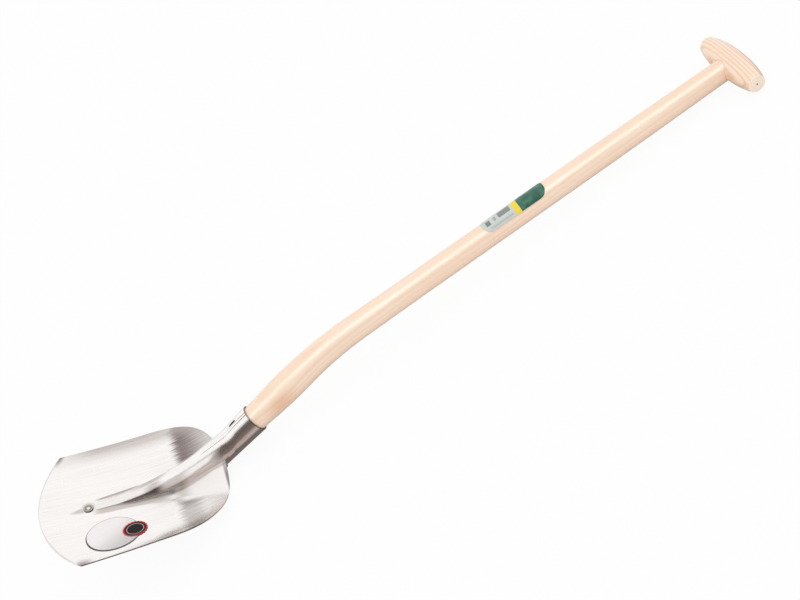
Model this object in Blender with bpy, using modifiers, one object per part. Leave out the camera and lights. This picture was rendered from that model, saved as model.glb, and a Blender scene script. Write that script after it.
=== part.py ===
"""Scoop shovel: pressed pan with a ridge, rolled socket, bent ash shaft and turned T-grip.

The pieces are modelled on the blade: the origin lies midway between the corners of the cutting
edge, +X runs back towards the grip, +Z points up out of the pan. The empty "rest_pose" then
lays the whole shovel on the ground, on its heel and its grip, with the origin below its middle.
All sizes are in metres.
"""
import math

import bmesh
import bpy
from mathutils import Matrix, Vector

GAP = 0.0003                    # clearance between pieces that touch

# Pan
CORNER_WIDTH = 0.220            # between the corners of the cutting edge
EDGE_BOW = 0.0443               # the edge stands this far in front of its corners
GRIND_WIDTH = 0.0045            # ground strip along the cutting edge
GRIND_DROP = 0.0012             # metal ground off the top at the very edge
SHOULDER_START = 0.120          # the straight sides end here, behind the corners
SIDE_TAPER = 0.003              # each side draws in this much up to there
BACK_RIM = 0.232                # from the corners to the back rim
RIM_OVERRUN = 0.001             # the pressing reaches this far past the back rim before its trim
SHOULDER_POWER = 3.0            # 2 is an ellipse, more is squarer
SHEET = 0.002                   # thickness of the pan
TIP_DEPTH = 0.0055              # of the cutting edge's middle below its corners
FLOOR_DEPTH = 0.0110            # of the pan's floor below its corners
FLOOR_START = 0.060             # the floor is level from here
HEEL_START = 0.130              # and rises to the back rim from here
HEEL_POWER = 1.6
RIM_RISE = 0.010                # of the back rim above the corners
RIM_RISE_START = 0.200          # the rim is level behind this point
SIDE_CURL = 4.5                 # the higher, the narrower the curl of the sides

# Ridge
RIVET_X = 0.0266                # the ridge's front end, at its rivet
NOSE_FADE = 0.026               # the ridge fades out over this length in front of the rivet
NOSE_HEIGHT = 0.0018
NOSE_HALF_WIDTH = 0.0058
NOSE_FOOT = 0.0080              # width of the hollow fillet beside the nose
NECK_FOOT = 0.0340              # and of the flare beside the neck
NECK_FOOT_POWER = 1.3           # 2 is a hollow quarter of an ellipse, nearer 1 is straighter
NOSE_REACH = 0.085              # how long the ridge stays low behind its nose
NECK_REACH = 0.084              # and how long it keeps its slope in front of the neck
NECK_SLOPE = math.radians(31.5)
RIDGE_FLARE = 0.85              # under 1, the ridge widens early
FOOT_FLARE = 2.5                # over 1, its fillets widen late
ROUND_SHARE = 0.62              # of the ridge's height that is round, the rest is fillet
ROUND_FROM = 0.45               # share of the ridge's length over which its flanks grow steep
EDGE_SPREAD = 0.030             # half width that the ridge's mesh lines cover at the edge

# Socket
NECK_RADIUS = 0.0210            # outer, where the socket meets the pan
RIM_RADIUS = 0.0226             # outer, at the socket's mouth
SOCKET_SINK = 0.0030            # the socket's underside lies this far below the back rim's top
SOCKET_LENGTH = 0.0736          # along its axis, from the back rim's plane to the mouth
SOCKET_PITCH = math.radians(40.0)
SOCKET_WALL = 0.002
SEAM_ANGLE = math.radians(-14.5)
SEAM_WIDTH = 0.0005
SEAM_MOUTH_WIDTH = 0.0014
SLOT_FROM_MOUTH = 0.0278        # middle of the slot
SLOT_LENGTH = 0.0124
SLOT_WIDTH = 0.0032
SLOT_ANGLE = math.radians(5.0)

# Strap behind the ridge, its rivet and the neck's welds
STRAP_THICKNESS = 0.0020
STRAP_LAP = 0.005               # the strap reaches this far past the ridge's fillets
STRAP_FOOT = 0.017              # or past this much of them, where they are wider
STRAP_LIFT = 0.85               # there its edges rise by this share of the fillet's height
STRAP_SHORT = 0.004             # the strap ends this far in front of the back rim
RIVET_SHANK_RADIUS = 0.0030
RIVET_HEAD_RADIUS = 0.0072
RIVET_HEAD_HEIGHT = 0.0013
RIVET_DISH = 0.0008
RIVET_TAIL_RADIUS = 0.0055
RIVET_TAIL_HEIGHT = 0.0016
SEAT_BLEND = 0.006              # width over which the ridge flattens into the rivet's seat
WELD_RADIUS = 0.0024
WELD_FROM = math.radians(100.0) # round the socket, from its front line
WELD_TO = math.radians(140.0)
WELD_END = 0.45                 # its ends run out to this share of its radius

# Shaft
SHAFT_IN_SOCKET = 0.052
BEND_START = 0.0955             # from the socket's mouth
BEND_RADIUS = 0.530
SHAFT_PITCH = math.radians(27.8)
STRAIGHT_LENGTH = 0.6427        # from the bend's end to the grip's axis
SWELL_AT = 0.014                # from the socket's mouth, as the next ones
SWELL_RADIUS = 0.0208
BULGE_AT = 0.068
BULGE_RADIUS = 0.0228
BULGE_END = 0.160
BULGE_END_RADIUS = 0.0204
MIDDLE_AT = 0.300
MIDDLE_RADIUS = 0.0189
UPPER_AT = 0.640
UPPER_RADIUS = 0.0180
TOP_RADIUS = 0.0162
SHAFT_STEP = 0.020              # between the rings of the shaft's mesh
TENON_RADIUS = 0.0110
TENON_PAST_AXIS = 0.0100        # the tenon ends this far beyond the grip's axis

# Grip
GRIP_LENGTH = 0.1275
GRIP_RADIUS = 0.0204
GRIP_END_RADIUS = 0.0121
GRIP_END_ROUND = 0.0016
SHOULDER_FROM_AXIS = 0.0115     # the shaft's shoulder lies this far from the grip's axis

# Fixings
SCREW_RADIUS = 0.0022
SCREW_LENGTH = 0.020
SCREW_HEAD_RADIUS = 0.0045
SCREW_HEAD_HEIGHT = 0.0022
SCREW_FROM_MOUTH = 0.022
NAIL_RADIUS = 0.0014
NAIL_LENGTH = 0.028
NAIL_HEAD_RADIUS = 0.0030
NAIL_HEAD_HEIGHT = 0.0012
NAIL_RECESS = 0.0006

# Labels
LABEL_THICKNESS = 0.0002
LABEL_LENGTH = 0.104
LABEL_WIDTH = 0.034
LABEL_CORNER = 0.014
LABEL_MIDDLE = 0.486            # along the shaft, from the socket's mouth
LABEL_TURN = math.radians(0.0)
FILM_CENTRE_X = 0.0525
FILM_FROM_SIDE = 0.0130         # between the film and the pan's side
FILM_HALF_LENGTH = 0.039
FILM_HALF_WIDTH = 0.033
TAG_FROM_FILM = (0.0315, -0.0015)
TAG_HALF_LENGTH = 0.0175
TAG_HALF_WIDTH = 0.0130

STEEL = (0.72, 0.69, 0.67)
ASH = (0.83, 0.62, 0.43)

FORWARD = Vector((math.cos(SOCKET_PITCH), 0, math.sin(SOCKET_PITCH)))
SHAFT_DIRECTION = Vector((math.cos(SHAFT_PITCH), 0, math.sin(SHAFT_PITCH)))


# Small helpers

def clear_scene():
    for item in list(bpy.data.objects):
        bpy.data.objects.remove(item, do_unlink=True)


def new_collection(name):
    collection = bpy.data.collections.new(name)
    bpy.context.scene.collection.children.link(collection)
    return collection


def make_material(name, colour, roughness, metallic):
    material = bpy.data.materials.new(name)
    material.use_nodes = True
    shader = material.node_tree.nodes["Principled BSDF"]
    shader.inputs["Base Color"].default_value = (*colour, 1)
    shader.inputs["Roughness"].default_value = roughness
    shader.inputs["Metallic"].default_value = metallic
    return material


def add_mesh(name, bm, collection, material=None):
    mesh = bpy.data.meshes.new(name)
    bmesh.ops.recalc_face_normals(bm, faces=bm.faces)
    is_open = any(edge.is_boundary for edge in bm.edges)
    if is_open and sum(face.normal.z for face in bm.faces) < 0:
        bmesh.ops.reverse_faces(bm, faces=bm.faces)
    bm.to_mesh(mesh)
    bm.free()
    item = bpy.data.objects.new(name, mesh)
    collection.objects.link(item)
    if material:
        mesh.materials.append(material)
    mesh.shade_smooth()
    mesh.set_sharp_from_angle(angle=math.radians(35))
    return item


def hide_cutter(item):
    item.hide_render = True
    item.display_type = "WIRE"


def frame_matrix(origin, z_axis, x_axis):
    """Placement whose local Z runs along z_axis and whose local X lies as near x_axis as it can."""
    z = Vector(z_axis).normalized()
    y = z.cross(Vector(x_axis)).normalized()
    x = y.cross(z)
    rotation = Matrix((x, y, z)).transposed().to_4x4()
    return Matrix.Translation(origin) @ rotation


def mix(a, b, share):
    return a + (b - a) * share


def clamp(value):
    return max(0.0, min(1.0, value))


def smooth_step(value):
    value = clamp(value)
    return value * value * (3 - 2 * value)


def smooth_through(knots, x):
    """A smooth curve through (x, y) knots that never overshoots them."""
    if x <= knots[0][0]:
        return knots[0][1]
    if x >= knots[-1][0]:
        return knots[-1][1]
    slopes = [(b[1] - a[1]) / (b[0] - a[0]) for a, b in zip(knots, knots[1:])]
    tangents = [slopes[0]]
    for before, after in zip(slopes, slopes[1:]):
        tangents.append(2 * before * after / (before + after) if before * after > 0 else 0.0)
    tangents.append(slopes[-1])
    i = next(k for k in range(len(slopes)) if x <= knots[k + 1][0])
    span = knots[i + 1][0] - knots[i][0]
    s = (x - knots[i][0]) / span
    return ((1 + 2 * s) * (1 - s) ** 2 * knots[i][1] + s * (1 - s) ** 2 * span * tangents[i]
            + s * s * (3 - 2 * s) * knots[i + 1][1] + s * s * (s - 1) * span * tangents[i + 1])


# Shape of the pan

def edge_x(y):
    """The cutting edge is an arc through both corners."""
    half = CORNER_WIDTH / 2
    radius = (half * half + EDGE_BOW * EDGE_BOW) / (2 * EDGE_BOW)
    return (radius - EDGE_BOW) - math.sqrt(max(radius * radius - y * y, 0.0))


def rim_height(x):
    return RIM_RISE * clamp(x / RIM_RISE_START) ** 2


def floor_height(x):
    """The pan's height along its middle, as if it had no ridge."""
    if x < FLOOR_START:
        share = clamp((x + EDGE_BOW) / (FLOOR_START + EDGE_BOW))
        return -mix(TIP_DEPTH, FLOOR_DEPTH, math.sin(share * math.pi / 2))
    rise = clamp((x - HEEL_START) / (BACK_RIM - HEEL_START)) ** HEEL_POWER
    return mix(-FLOOR_DEPTH, RIM_RISE, rise)


def neck_axis_height():
    """The socket's underside lands on the back rim, so its axis crosses the rim's plane here."""
    return RIM_RISE - SOCKET_SINK + NECK_RADIUS / math.cos(SOCKET_PITCH)


def crest_height(x):
    """Top of the ridge: a curve from the low nose at the rivet up to the neck."""
    nose = Vector((RIVET_X, floor_height(RIVET_X) + NOSE_HEIGHT))
    neck = Vector((BACK_RIM, neck_axis_height() + NECK_RADIUS / math.cos(SOCKET_PITCH)))
    if x > neck.x:
        return neck.y + (x - neck.x) * math.tan(NECK_SLOPE)
    low = nose + Vector((NOSE_REACH, NOSE_REACH * 0.03))
    high = neck - Vector((math.cos(NECK_SLOPE), math.sin(NECK_SLOPE))) * NECK_REACH
    before, after = 0.0, 1.0
    for _ in range(40):
        s = (before + after) / 2
        point = (nose * (1 - s) ** 3 + low * 3 * s * (1 - s) ** 2
                 + high * 3 * s * s * (1 - s) + neck * s ** 3)
        if point.x < x:
            before = s
        else:
            after = s
    return point.y


def ridge_height(x):
    """Height of the ridge above the pan's floor."""
    if x < RIVET_X:
        return NOSE_HEIGHT * smooth_step(1 - (RIVET_X - x) / NOSE_FADE)
    return crest_height(x) - floor_height(x)


def ridge_share(x):
    return max((x - RIVET_X) / (BACK_RIM - RIVET_X), 0.0)


def ridge_half_width(x):
    return mix(NOSE_HALF_WIDTH, NECK_RADIUS, ridge_share(x) ** RIDGE_FLARE)


def ridge_foot(x):
    return mix(NOSE_FOOT, NECK_FOOT, ridge_share(x) ** FOOT_FLARE)


def ridge_top(x):
    """Height of the ridge's round top, above its fillets."""
    round_top = ridge_half_width(x) / math.cos(SOCKET_PITCH * ridge_share(x))
    return min(round_top, ROUND_SHARE * ridge_height(x))


def foot_power(x):
    return mix(2.0, NECK_FOOT_POWER, ridge_share(x))


def ridge_section(x, t):
    """Distance across and height above the pan, for t from 0 on the crest to 1 at the foot.

    The nose is a low bell. The neck is a round top that leaves the socket's tube, with hollow
    fillets below it.
    """
    half, foot, height, top = ridge_half_width(x), ridge_foot(x), ridge_height(x), ridge_top(x)
    bell = Vector(((half + foot) * t, height * (1 + math.cos(math.pi * t)) / 2))
    if t < 0.5:
        angle = math.pi * t
        tube = Vector((half * math.sin(angle), height - top * (1 - math.cos(angle))))
    else:
        angle = math.pi * (t - 0.5)
        bend = 2 / foot_power(x)
        tube = Vector((half + foot * (1 - math.cos(angle) ** bend),
                       (height - top) * (1 - math.sin(angle) ** bend)))
    section = bell.lerp(tube, smooth_step(ridge_share(x) / ROUND_FROM))
    fade = smooth_step((RIVET_X - x) / (RIVET_X + EDGE_BOW))
    return Vector((mix(section.x, EDGE_SPREAD * t, fade), section.y))


def foot_height(x, y):
    """Height of the ridge's fillet above the pan's floor, at y beside the ridge."""
    across = clamp(1 - (y - ridge_half_width(x)) / ridge_foot(x))
    power = foot_power(x)
    return (ridge_height(x) - ridge_top(x)) * (1 - (1 - across ** power) ** (1 / power))


def seat_height():
    """Flat on the sheet's top that carries the rivet's head."""
    return floor_height(RIVET_X) + NOSE_HEIGHT * 0.5


def pan_height(x, middle_x, across):
    """Top of the pan without its ridge, at x on the row that crosses the middle at middle_x.

    across is 0 in the middle and 1 on the rim.
    """
    depth = rim_height(middle_x) - floor_height(middle_x)
    return rim_height(x) - depth * (1 - across ** SIDE_CURL)


def blade_rows():
    """Row stations: (part, value), where part is front or back of the shoulder line."""
    length = SHOULDER_START + EDGE_BOW
    near_rivet = [RIVET_X + step * RIVET_HEAD_RADIUS for step in (-2.6, -1.5, -0.75, 0, 0.75, 1.5, 2.6)]
    stations = [-EDGE_BOW, -EDGE_BOW + GRIND_WIDTH, -0.025, -0.008] + near_rivet
    stations += [0.060, 0.076, 0.092, 0.106]
    rows = [("front", (x + EDGE_BOW) / length) for x in stations]
    shares = (0, 0.12, 0.24, 0.36, 0.48, 0.59, 0.69, 0.78, 0.86, 0.92, 0.965, 1.0)
    return rows + [("back", share) for share in shares]


def blade_columns():
    """Column stations from the middle to the rim: (part, value)."""
    ridge = [("ridge", step / 10) for step in range(11)]
    pan = [("pan", share) for share in (0.07, 0.16, 0.28, 0.42, 0.56, 0.69, 0.8, 0.89, 0.955, 1.0)]
    return ridge + pan


def side_half_width(along):
    """Half width of the pan, for along from 0 at the edge to 1 at the shoulders."""
    return CORNER_WIDTH / 2 - SIDE_TAPER * along


def blade_point(row, column, side):
    part, along = row
    zone, t = column
    if part == "front":
        half_width = side_half_width(along)
        middle_x = mix(-EDGE_BOW, SHOULDER_START, along)
    else:
        stretch = (1 - along ** SHOULDER_POWER / 2) ** (1 / SHOULDER_POWER)
        half_width = side_half_width(1) * stretch
        middle_x = mix(SHOULDER_START, BACK_RIM + RIM_OVERRUN, along)
    if zone == "ridge":
        y, lift = ridge_section(middle_x, t)
    else:
        y, lift = mix(ridge_section(middle_x, 1).x, half_width, t), 0.0
    across = y / half_width
    if part == "front":
        x = mix(edge_x(across * CORNER_WIDTH / 2), SHOULDER_START, along)
    else:
        bend = (1 - across ** SHOULDER_POWER / 2) ** (1 / SHOULDER_POWER)
        x = SHOULDER_START + (BACK_RIM + RIM_OVERRUN - SHOULDER_START) * along * bend
    z = pan_height(x, middle_x, across) + lift
    from_rivet = math.hypot(x - RIVET_X, y)
    seat = 1 - smooth_step((from_rivet - RIVET_HEAD_RADIUS) / SEAT_BLEND)
    z = mix(z, seat_height(), seat)
    if part == "front" and along == 0:
        z -= GRIND_DROP
    return Vector((x, side * y, z))


def make_blade(parts, cutters, material):
    rows = blade_rows()
    half = blade_columns()
    columns = [(c, -1) for c in reversed(half[1:])] + [(c, 1) for c in half]
    bm = bmesh.new()
    bmesh.ops.create_grid(bm, x_segments=len(rows) - 1, y_segments=len(columns) - 1, size=0.5)
    bm.verts.ensure_lookup_table()
    thin = []
    for vert in bm.verts:
        i = round((vert.co.x + 0.5) * (len(rows) - 1))
        j = round((vert.co.y + 0.5) * (len(columns) - 1))
        column, side = columns[j]
        vert.co = blade_point(rows[i], column, side)
        if i == 0:
            thin.append(vert.index)
    blade = add_mesh("blade", bm, parts, material)
    edge_group = blade.vertex_groups.new(name="full_thickness")
    edge_group.add([v.index for v in blade.data.vertices if v.index not in set(thin)], 1.0, "REPLACE")
    shell = blade.modifiers.new("sheet", "SOLIDIFY")
    shell.thickness = SHEET
    shell.offset = -1
    shell.use_even_offset = True
    shell.vertex_group = "full_thickness"
    shell.thickness_vertex_group = (SHEET - GRIND_DROP) / SHEET
    trim = add_box("neck_trim", cutters, (BACK_RIM + 0.05, 0, 0.05), (0.1, 0.4, 0.3))
    add_boolean(blade, trim)
    hole = add_rod("rivet_hole", cutters, rivet_matrix(), RIVET_SHANK_RADIUS + GAP, -0.02, 0.02, 24)
    add_boolean(blade, hole)
    return blade


# Plain solids and cutters

def add_box(name, collection, centre, size):
    bm = bmesh.new()
    bmesh.ops.create_cube(bm, size=1, matrix=Matrix.Translation(centre) @ Matrix.Diagonal((*size, 1)))
    item = add_mesh(name, bm, collection)
    hide_cutter(item)
    return item


def add_rod(name, collection, placement, radius, low, high, sides, material=None):
    """A cylinder along the placement's Z axis, from low to high."""
    bm = bmesh.new()
    bmesh.ops.create_cone(bm, cap_ends=True, segments=sides, radius1=radius, radius2=radius,
                          depth=high - low, matrix=Matrix.Translation((0, 0, (low + high) / 2)))
    item = add_mesh(name, bm, collection, material)
    item.matrix_world = placement
    if not material:
        hide_cutter(item)
    return item


def add_turned(name, collection, placement, profile, sides, material=None):
    """Turns (radius, height) points, listed from the top down, about the placement's Z axis."""
    bm = bmesh.new()
    verts = [bm.verts.new((radius, 0, height)) for radius, height in profile]
    for a, b in zip(verts, verts[1:]):
        bm.edges.new((a, b))
    mesh = bpy.data.meshes.new(name)
    bm.to_mesh(mesh)
    bm.free()
    item = bpy.data.objects.new(name, mesh)
    collection.objects.link(item)
    if material:
        mesh.materials.append(material)
    turn = item.modifiers.new("turn", "SCREW")
    turn.axis = "Z"
    turn.steps = sides
    turn.render_steps = sides
    turn.use_merge_vertices = True
    turn.merge_threshold = 0.00001
    turn.use_smooth_shade = True
    item.matrix_world = placement
    return item


def add_boolean(item, cutter, operation="DIFFERENCE"):
    cut = item.modifiers.new(cutter.name, "BOOLEAN")
    cut.operation = operation
    cut.solver = "EXACT"
    cut.object = cutter
    return cut


def rivet_matrix():
    return Matrix.Translation((RIVET_X, 0, seat_height()))


# Strap, rivet and welds

def strap_nose():
    """Radius of the strap's round front end, which is centred on the rivet."""
    return NOSE_HALF_WIDTH + NOSE_FOOT + STRAP_LAP


def strap_half_width(x):
    if x < RIVET_X:
        return math.sqrt(max(strap_nose() ** 2 - (RIVET_X - x) ** 2, 0))
    return ridge_half_width(x) + min(ridge_foot(x), STRAP_FOOT) + STRAP_LAP


def strap_height(x, across=0.0):
    """Top of the strap, just under the sheet, for across from 0 in its middle to 1 on its edge."""
    lift = STRAP_LIFT * foot_height(x, strap_half_width(x)) if x > RIVET_X else 0.0
    return floor_height(x) - SHEET * 1.04 - GAP + lift * across ** 4


def make_strap(parts, cutters, material):
    tail = BACK_RIM + 0.001
    rounded = [RIVET_X - strap_nose() * math.cos(math.radians(a)) for a in (14, 30, 46, 62, 76, 90)]
    straight = [mix(RIVET_X, tail, step / 12) for step in range(1, 13)]
    stations = rounded + straight
    columns = 8
    bm = bmesh.new()
    bmesh.ops.create_grid(bm, x_segments=len(stations) - 1, y_segments=columns, size=0.5)
    for vert in bm.verts:
        x = stations[round((vert.co.x + 0.5) * (len(stations) - 1))]
        across = vert.co.y * 2
        vert.co = Vector((x, across * strap_half_width(x), strap_height(x, abs(across))))
    strap = add_mesh("back_strap", bm, parts, material)
    shell = strap.modifiers.new("plate", "SOLIDIFY")
    shell.thickness = STRAP_THICKNESS
    shell.offset = -1
    trim = add_box("strap_trim", cutters, (BACK_RIM - STRAP_SHORT + 0.05, 0, 0), (0.1, 0.2, 0.2))
    add_boolean(strap, trim)
    hole = add_rod("strap_hole", cutters, rivet_matrix(), RIVET_SHANK_RADIUS + GAP, -0.02, 0.02, 24)
    add_boolean(strap, hole)
    return strap


def make_rivet(parts, material):
    """Set head with a dished top above the sheet, and a plain tail below the strap."""
    under = strap_height(RIVET_X) - STRAP_THICKNESS - GAP - seat_height() - 0.0002
    low = GAP
    head = RIVET_HEAD_HEIGHT + GAP
    rim = RIVET_HEAD_RADIUS
    profile = [(0, head - RIVET_DISH), (rim * 0.35, head - RIVET_DISH * 0.9), (rim * 0.62, head - RIVET_DISH * 0.45),
               (rim * 0.80, head), (rim * 0.92, head - 0.0002), (rim, low + 0.0005), (rim, low),
               (RIVET_SHANK_RADIUS, low), (RIVET_SHANK_RADIUS, under), (RIVET_TAIL_RADIUS, under),
               (RIVET_TAIL_RADIUS * 0.9, under - RIVET_TAIL_HEIGHT * 0.6), (RIVET_TAIL_RADIUS * 0.5, under - RIVET_TAIL_HEIGHT),
               (0, under - RIVET_TAIL_HEIGHT)]
    return add_turned("strap_rivet", parts, rivet_matrix(), profile, 24, material)


def weld_path():
    """Centre line of the bead between the socket's outside and the pan's back edge."""
    off = WELD_RADIUS + GAP
    points = []
    for step in range(7):
        angle = mix(WELD_FROM, WELD_TO, step / 6)
        reach = NECK_RADIUS + off + 0.0002
        s = (off + reach * math.sin(SOCKET_PITCH) * math.cos(angle)) / math.cos(SOCKET_PITCH)
        points.append(socket_point(s, angle, reach))
    return points


def make_weld(name, side, parts, material):
    curve = bpy.data.curves.new("weld_line", "CURVE")
    curve.dimensions = "3D"
    curve.bevel_depth = WELD_RADIUS
    curve.bevel_resolution = 2
    curve.use_fill_caps = True
    path = weld_path()
    spline = curve.splines.new("POLY")
    spline.points.add(len(path) - 1)
    for step, (point, place) in enumerate(zip(spline.points, path)):
        point.co = (place.x, side * place.y, place.z, 1)
        point.radius = WELD_END if step in (0, len(path) - 1) else 1.0
    return curve_to_mesh(name, curve, parts, material)


def curve_to_mesh(name, curve, collection, material):
    holder = bpy.data.objects.new(name + "_curve", curve)
    collection.objects.link(holder)
    bpy.context.view_layer.update()
    evaluated = holder.evaluated_get(bpy.context.evaluated_depsgraph_get())
    mesh = bpy.data.meshes.new_from_object(evaluated)
    bm = bmesh.new()
    bm.from_mesh(mesh)
    bmesh.ops.remove_doubles(bm, verts=bm.verts, dist=0.00001)
    item = add_mesh(name, bm, collection, material)
    item.matrix_world = holder.matrix_world
    bpy.data.objects.remove(holder)
    bpy.data.meshes.remove(mesh)
    return item


# Socket

def socket_point(s, angle, radius):
    """A point round the socket's axis: s from the back rim's plane, angle from its front line."""
    axis = Vector((BACK_RIM, 0, neck_axis_height())) + FORWARD * s
    front = Vector((-math.sin(SOCKET_PITCH), 0, math.cos(SOCKET_PITCH)))
    return axis + (front * math.cos(angle) + Vector((0, 1, 0)) * math.sin(angle)) * radius


def socket_radius(s):
    return mix(NECK_RADIUS, RIM_RADIUS, s / SOCKET_LENGTH)


def socket_matrix(angle):
    """Local Z along the axis, local X out through the wall at this angle from the front line."""
    origin = socket_point(0, 0, 0)
    return frame_matrix(origin, FORWARD, socket_point(0, angle, 1) - origin)


def make_socket(parts, cutters, material):
    below = -NECK_RADIUS * math.tan(SOCKET_PITCH) - 0.004
    profile = [(socket_radius(s), s) for s in (SOCKET_LENGTH, SOCKET_LENGTH / 2, below)]
    socket = add_turned("socket", parts, socket_matrix(0), profile, 40, material)
    shell = socket.modifiers.new("wall", "SOLIDIFY")
    shell.thickness = SOCKET_WALL
    shell.offset = -1
    add_boolean(socket, add_box("neck_plane", cutters, (BACK_RIM + GAP - 0.05, 0, 0.02), (0.1, 0.2, 0.2)))
    add_boolean(socket, seam_cutter(cutters))
    add_boolean(socket, slot_cutter(cutters))
    hole = add_rod("screw_hole", cutters, screw_matrix(), SCREW_RADIUS + GAP, -0.01, 0.01, 16)
    add_boolean(socket, hole)
    return socket


def seam_cutter(cutters):
    """A thin wedge that opens the rolled seam towards the mouth."""
    bm = bmesh.new()
    bmesh.ops.create_cube(bm, size=1)
    for vert in bm.verts:
        at_mouth = vert.co.z > 0
        width = SEAM_MOUTH_WIDTH if at_mouth else SEAM_WIDTH
        z = SOCKET_LENGTH + 0.002 if at_mouth else -0.01
        vert.co = Vector((0.010 + (vert.co.x + 0.5) * 0.020, vert.co.y * width, z))
    item = add_mesh("seam_cut", bm, cutters)
    item.matrix_world = socket_matrix(SEAM_ANGLE)
    hide_cutter(item)
    return item


def slot_cutter(cutters):
    """A short slot with round ends, punched through the wall."""
    bm = bmesh.new()
    straight = (SLOT_LENGTH - SLOT_WIDTH) / 2
    for side in (-1, 1):
        for step in range(9):
            angle = math.radians(-90 + 180 * step / 8)
            y = SLOT_WIDTH / 2 * math.sin(angle) * side
            z = side * (straight + SLOT_WIDTH / 2 * math.cos(angle))
            bm.verts.new((0.010, y, z))
    bm.faces.new(bm.verts)
    grown = bmesh.ops.extrude_face_region(bm, geom=bm.faces[:])
    bmesh.ops.translate(bm, verts=[v for v in grown["geom"] if isinstance(v, bmesh.types.BMVert)], vec=(0.02, 0, 0))
    item = add_mesh("slot_cut", bm, cutters)
    item.matrix_world = socket_matrix(SLOT_ANGLE) @ Matrix.Translation((0, 0, SOCKET_LENGTH - SLOT_FROM_MOUTH))
    hide_cutter(item)
    return item


# Shaft

def inner_radius(s):
    return socket_radius(s) - SOCKET_WALL - GAP - 0.0001


def bend_length():
    return BEND_RADIUS * (SOCKET_PITCH - SHAFT_PITCH)


def shaft_length():
    """From the socket's mouth to the grip's axis."""
    return BEND_START + bend_length() + STRAIGHT_LENGTH


def shaft_point(distance):
    """A point on the shaft's centre line, by its distance from the socket's mouth."""
    mouth = socket_point(SOCKET_LENGTH, 0, 0)
    if distance <= BEND_START:
        return mouth + FORWARD * distance
    start = mouth + FORWARD * BEND_START
    turned = min(distance - BEND_START, bend_length()) / BEND_RADIUS
    chord = 2 * BEND_RADIUS * math.sin(turned / 2)
    pitch = SOCKET_PITCH - turned / 2
    point = start + Vector((math.cos(pitch), 0, math.sin(pitch))) * chord
    beyond = max(distance - BEND_START - bend_length(), 0)
    return point + SHAFT_DIRECTION * beyond


def shaft_radius(distance):
    top = shaft_length() - SHOULDER_FROM_AXIS
    knots = [(0, inner_radius(SOCKET_LENGTH)), (SWELL_AT, SWELL_RADIUS), (BULGE_AT, BULGE_RADIUS),
             (BULGE_END, BULGE_END_RADIUS), (MIDDLE_AT, MIDDLE_RADIUS), (UPPER_AT, UPPER_RADIUS),
             (top, TOP_RADIUS)]
    if distance < 0:
        return inner_radius(SOCKET_LENGTH + distance)
    return smooth_through(knots, distance)


def grip_axis():
    return shaft_point(shaft_length())


def shaft_stations():
    """(distance from the mouth, radius) of each ring of the shaft."""
    top = shaft_length() - SHOULDER_FROM_AXIS
    inside = [(-SHAFT_IN_SOCKET, inner_radius(SOCKET_LENGTH - SHAFT_IN_SOCKET)), (-0.001, shaft_radius(-0.001))]
    count = round(top / SHAFT_STEP)
    outside = [(d, shaft_radius(d)) for d in (top * step / count for step in range(count + 1))]
    tenon = [(top + 0.00002, TENON_RADIUS), (shaft_length() + TENON_PAST_AXIS, TENON_RADIUS)]
    return inside + outside + tenon


def make_shaft(parts, cutters, material):
    stations = shaft_stations()
    curve = bpy.data.curves.new("shaft_line", "CURVE")
    curve.dimensions = "3D"
    curve.bevel_depth = BULGE_RADIUS
    curve.bevel_resolution = 9
    curve.use_fill_caps = True
    spline = curve.splines.new("POLY")
    spline.points.add(len(stations) - 1)
    for point, (distance, radius) in zip(spline.points, stations):
        point.co = (*shaft_point(distance), 1)
        point.radius = radius / BULGE_RADIUS
    shaft = curve_to_mesh("shaft", curve, parts, material)
    pilot = add_rod("screw_pilot", cutters, screw_matrix(), SCREW_RADIUS + GAP, -SCREW_LENGTH - GAP, 0.01, 16)
    add_boolean(shaft, pilot)
    pilot = add_rod("nail_pilot", cutters, nail_matrix(), NAIL_RADIUS + GAP, -NAIL_LENGTH - GAP, 0.01, 16)
    add_boolean(shaft, pilot)
    return shaft


# Grip

def grip_radius(y):
    """The barrel is a long ellipse, cut off at the ends."""
    half = GRIP_LENGTH / 2
    reach = half / math.sqrt(1 - (GRIP_END_RADIUS / GRIP_RADIUS) ** 2)
    return GRIP_RADIUS * math.sqrt(1 - (y / reach) ** 2)


def make_grip(parts, cutters, material):
    half = GRIP_LENGTH / 2
    body = []
    for step in range(21):
        y = (half - GRIP_END_ROUND) * math.cos(math.pi * step / 20)
        body.append((grip_radius(y), y))
    end = []
    for step in range(3):
        angle = math.radians(90 - 30 * step)
        radius = grip_radius(half - GRIP_END_ROUND) - GRIP_END_ROUND * (1 - math.cos(angle))
        end.append((radius, half - GRIP_END_ROUND * (1 - math.sin(angle))))
    top = [(0, half)] + end
    bottom = [(radius, -y) for radius, y in reversed(top)]
    placement = frame_matrix(grip_axis(), (0, 1, 0), SHAFT_DIRECTION)
    grip = add_turned("grip", parts, placement, top + body + bottom, 36, material)
    seat = frame_matrix(grip_axis(), SHAFT_DIRECTION, (0, 1, 0))
    counterbore = add_rod("grip_counterbore", cutters, seat, TOP_RADIUS + GAP + 0.0001,
                          -GRIP_RADIUS - 0.01, -SHOULDER_FROM_AXIS + GAP, 36)
    add_boolean(grip, counterbore)
    bore = add_rod("grip_bore", cutters, seat, TENON_RADIUS + GAP, -GRIP_RADIUS, TENON_PAST_AXIS + GAP, 32)
    add_boolean(grip, bore)
    hole = add_rod("nail_hole", cutters, nail_matrix(), NAIL_RADIUS + GAP, -GRIP_RADIUS, 0.01, 16)
    add_boolean(grip, hole)
    sink = add_rod("nail_sink", cutters, nail_matrix(), NAIL_HEAD_RADIUS + GAP, -NAIL_HEAD_HEIGHT - GAP, 0.01, 20)
    add_boolean(grip, sink)
    return grip


# Screw and nail

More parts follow.
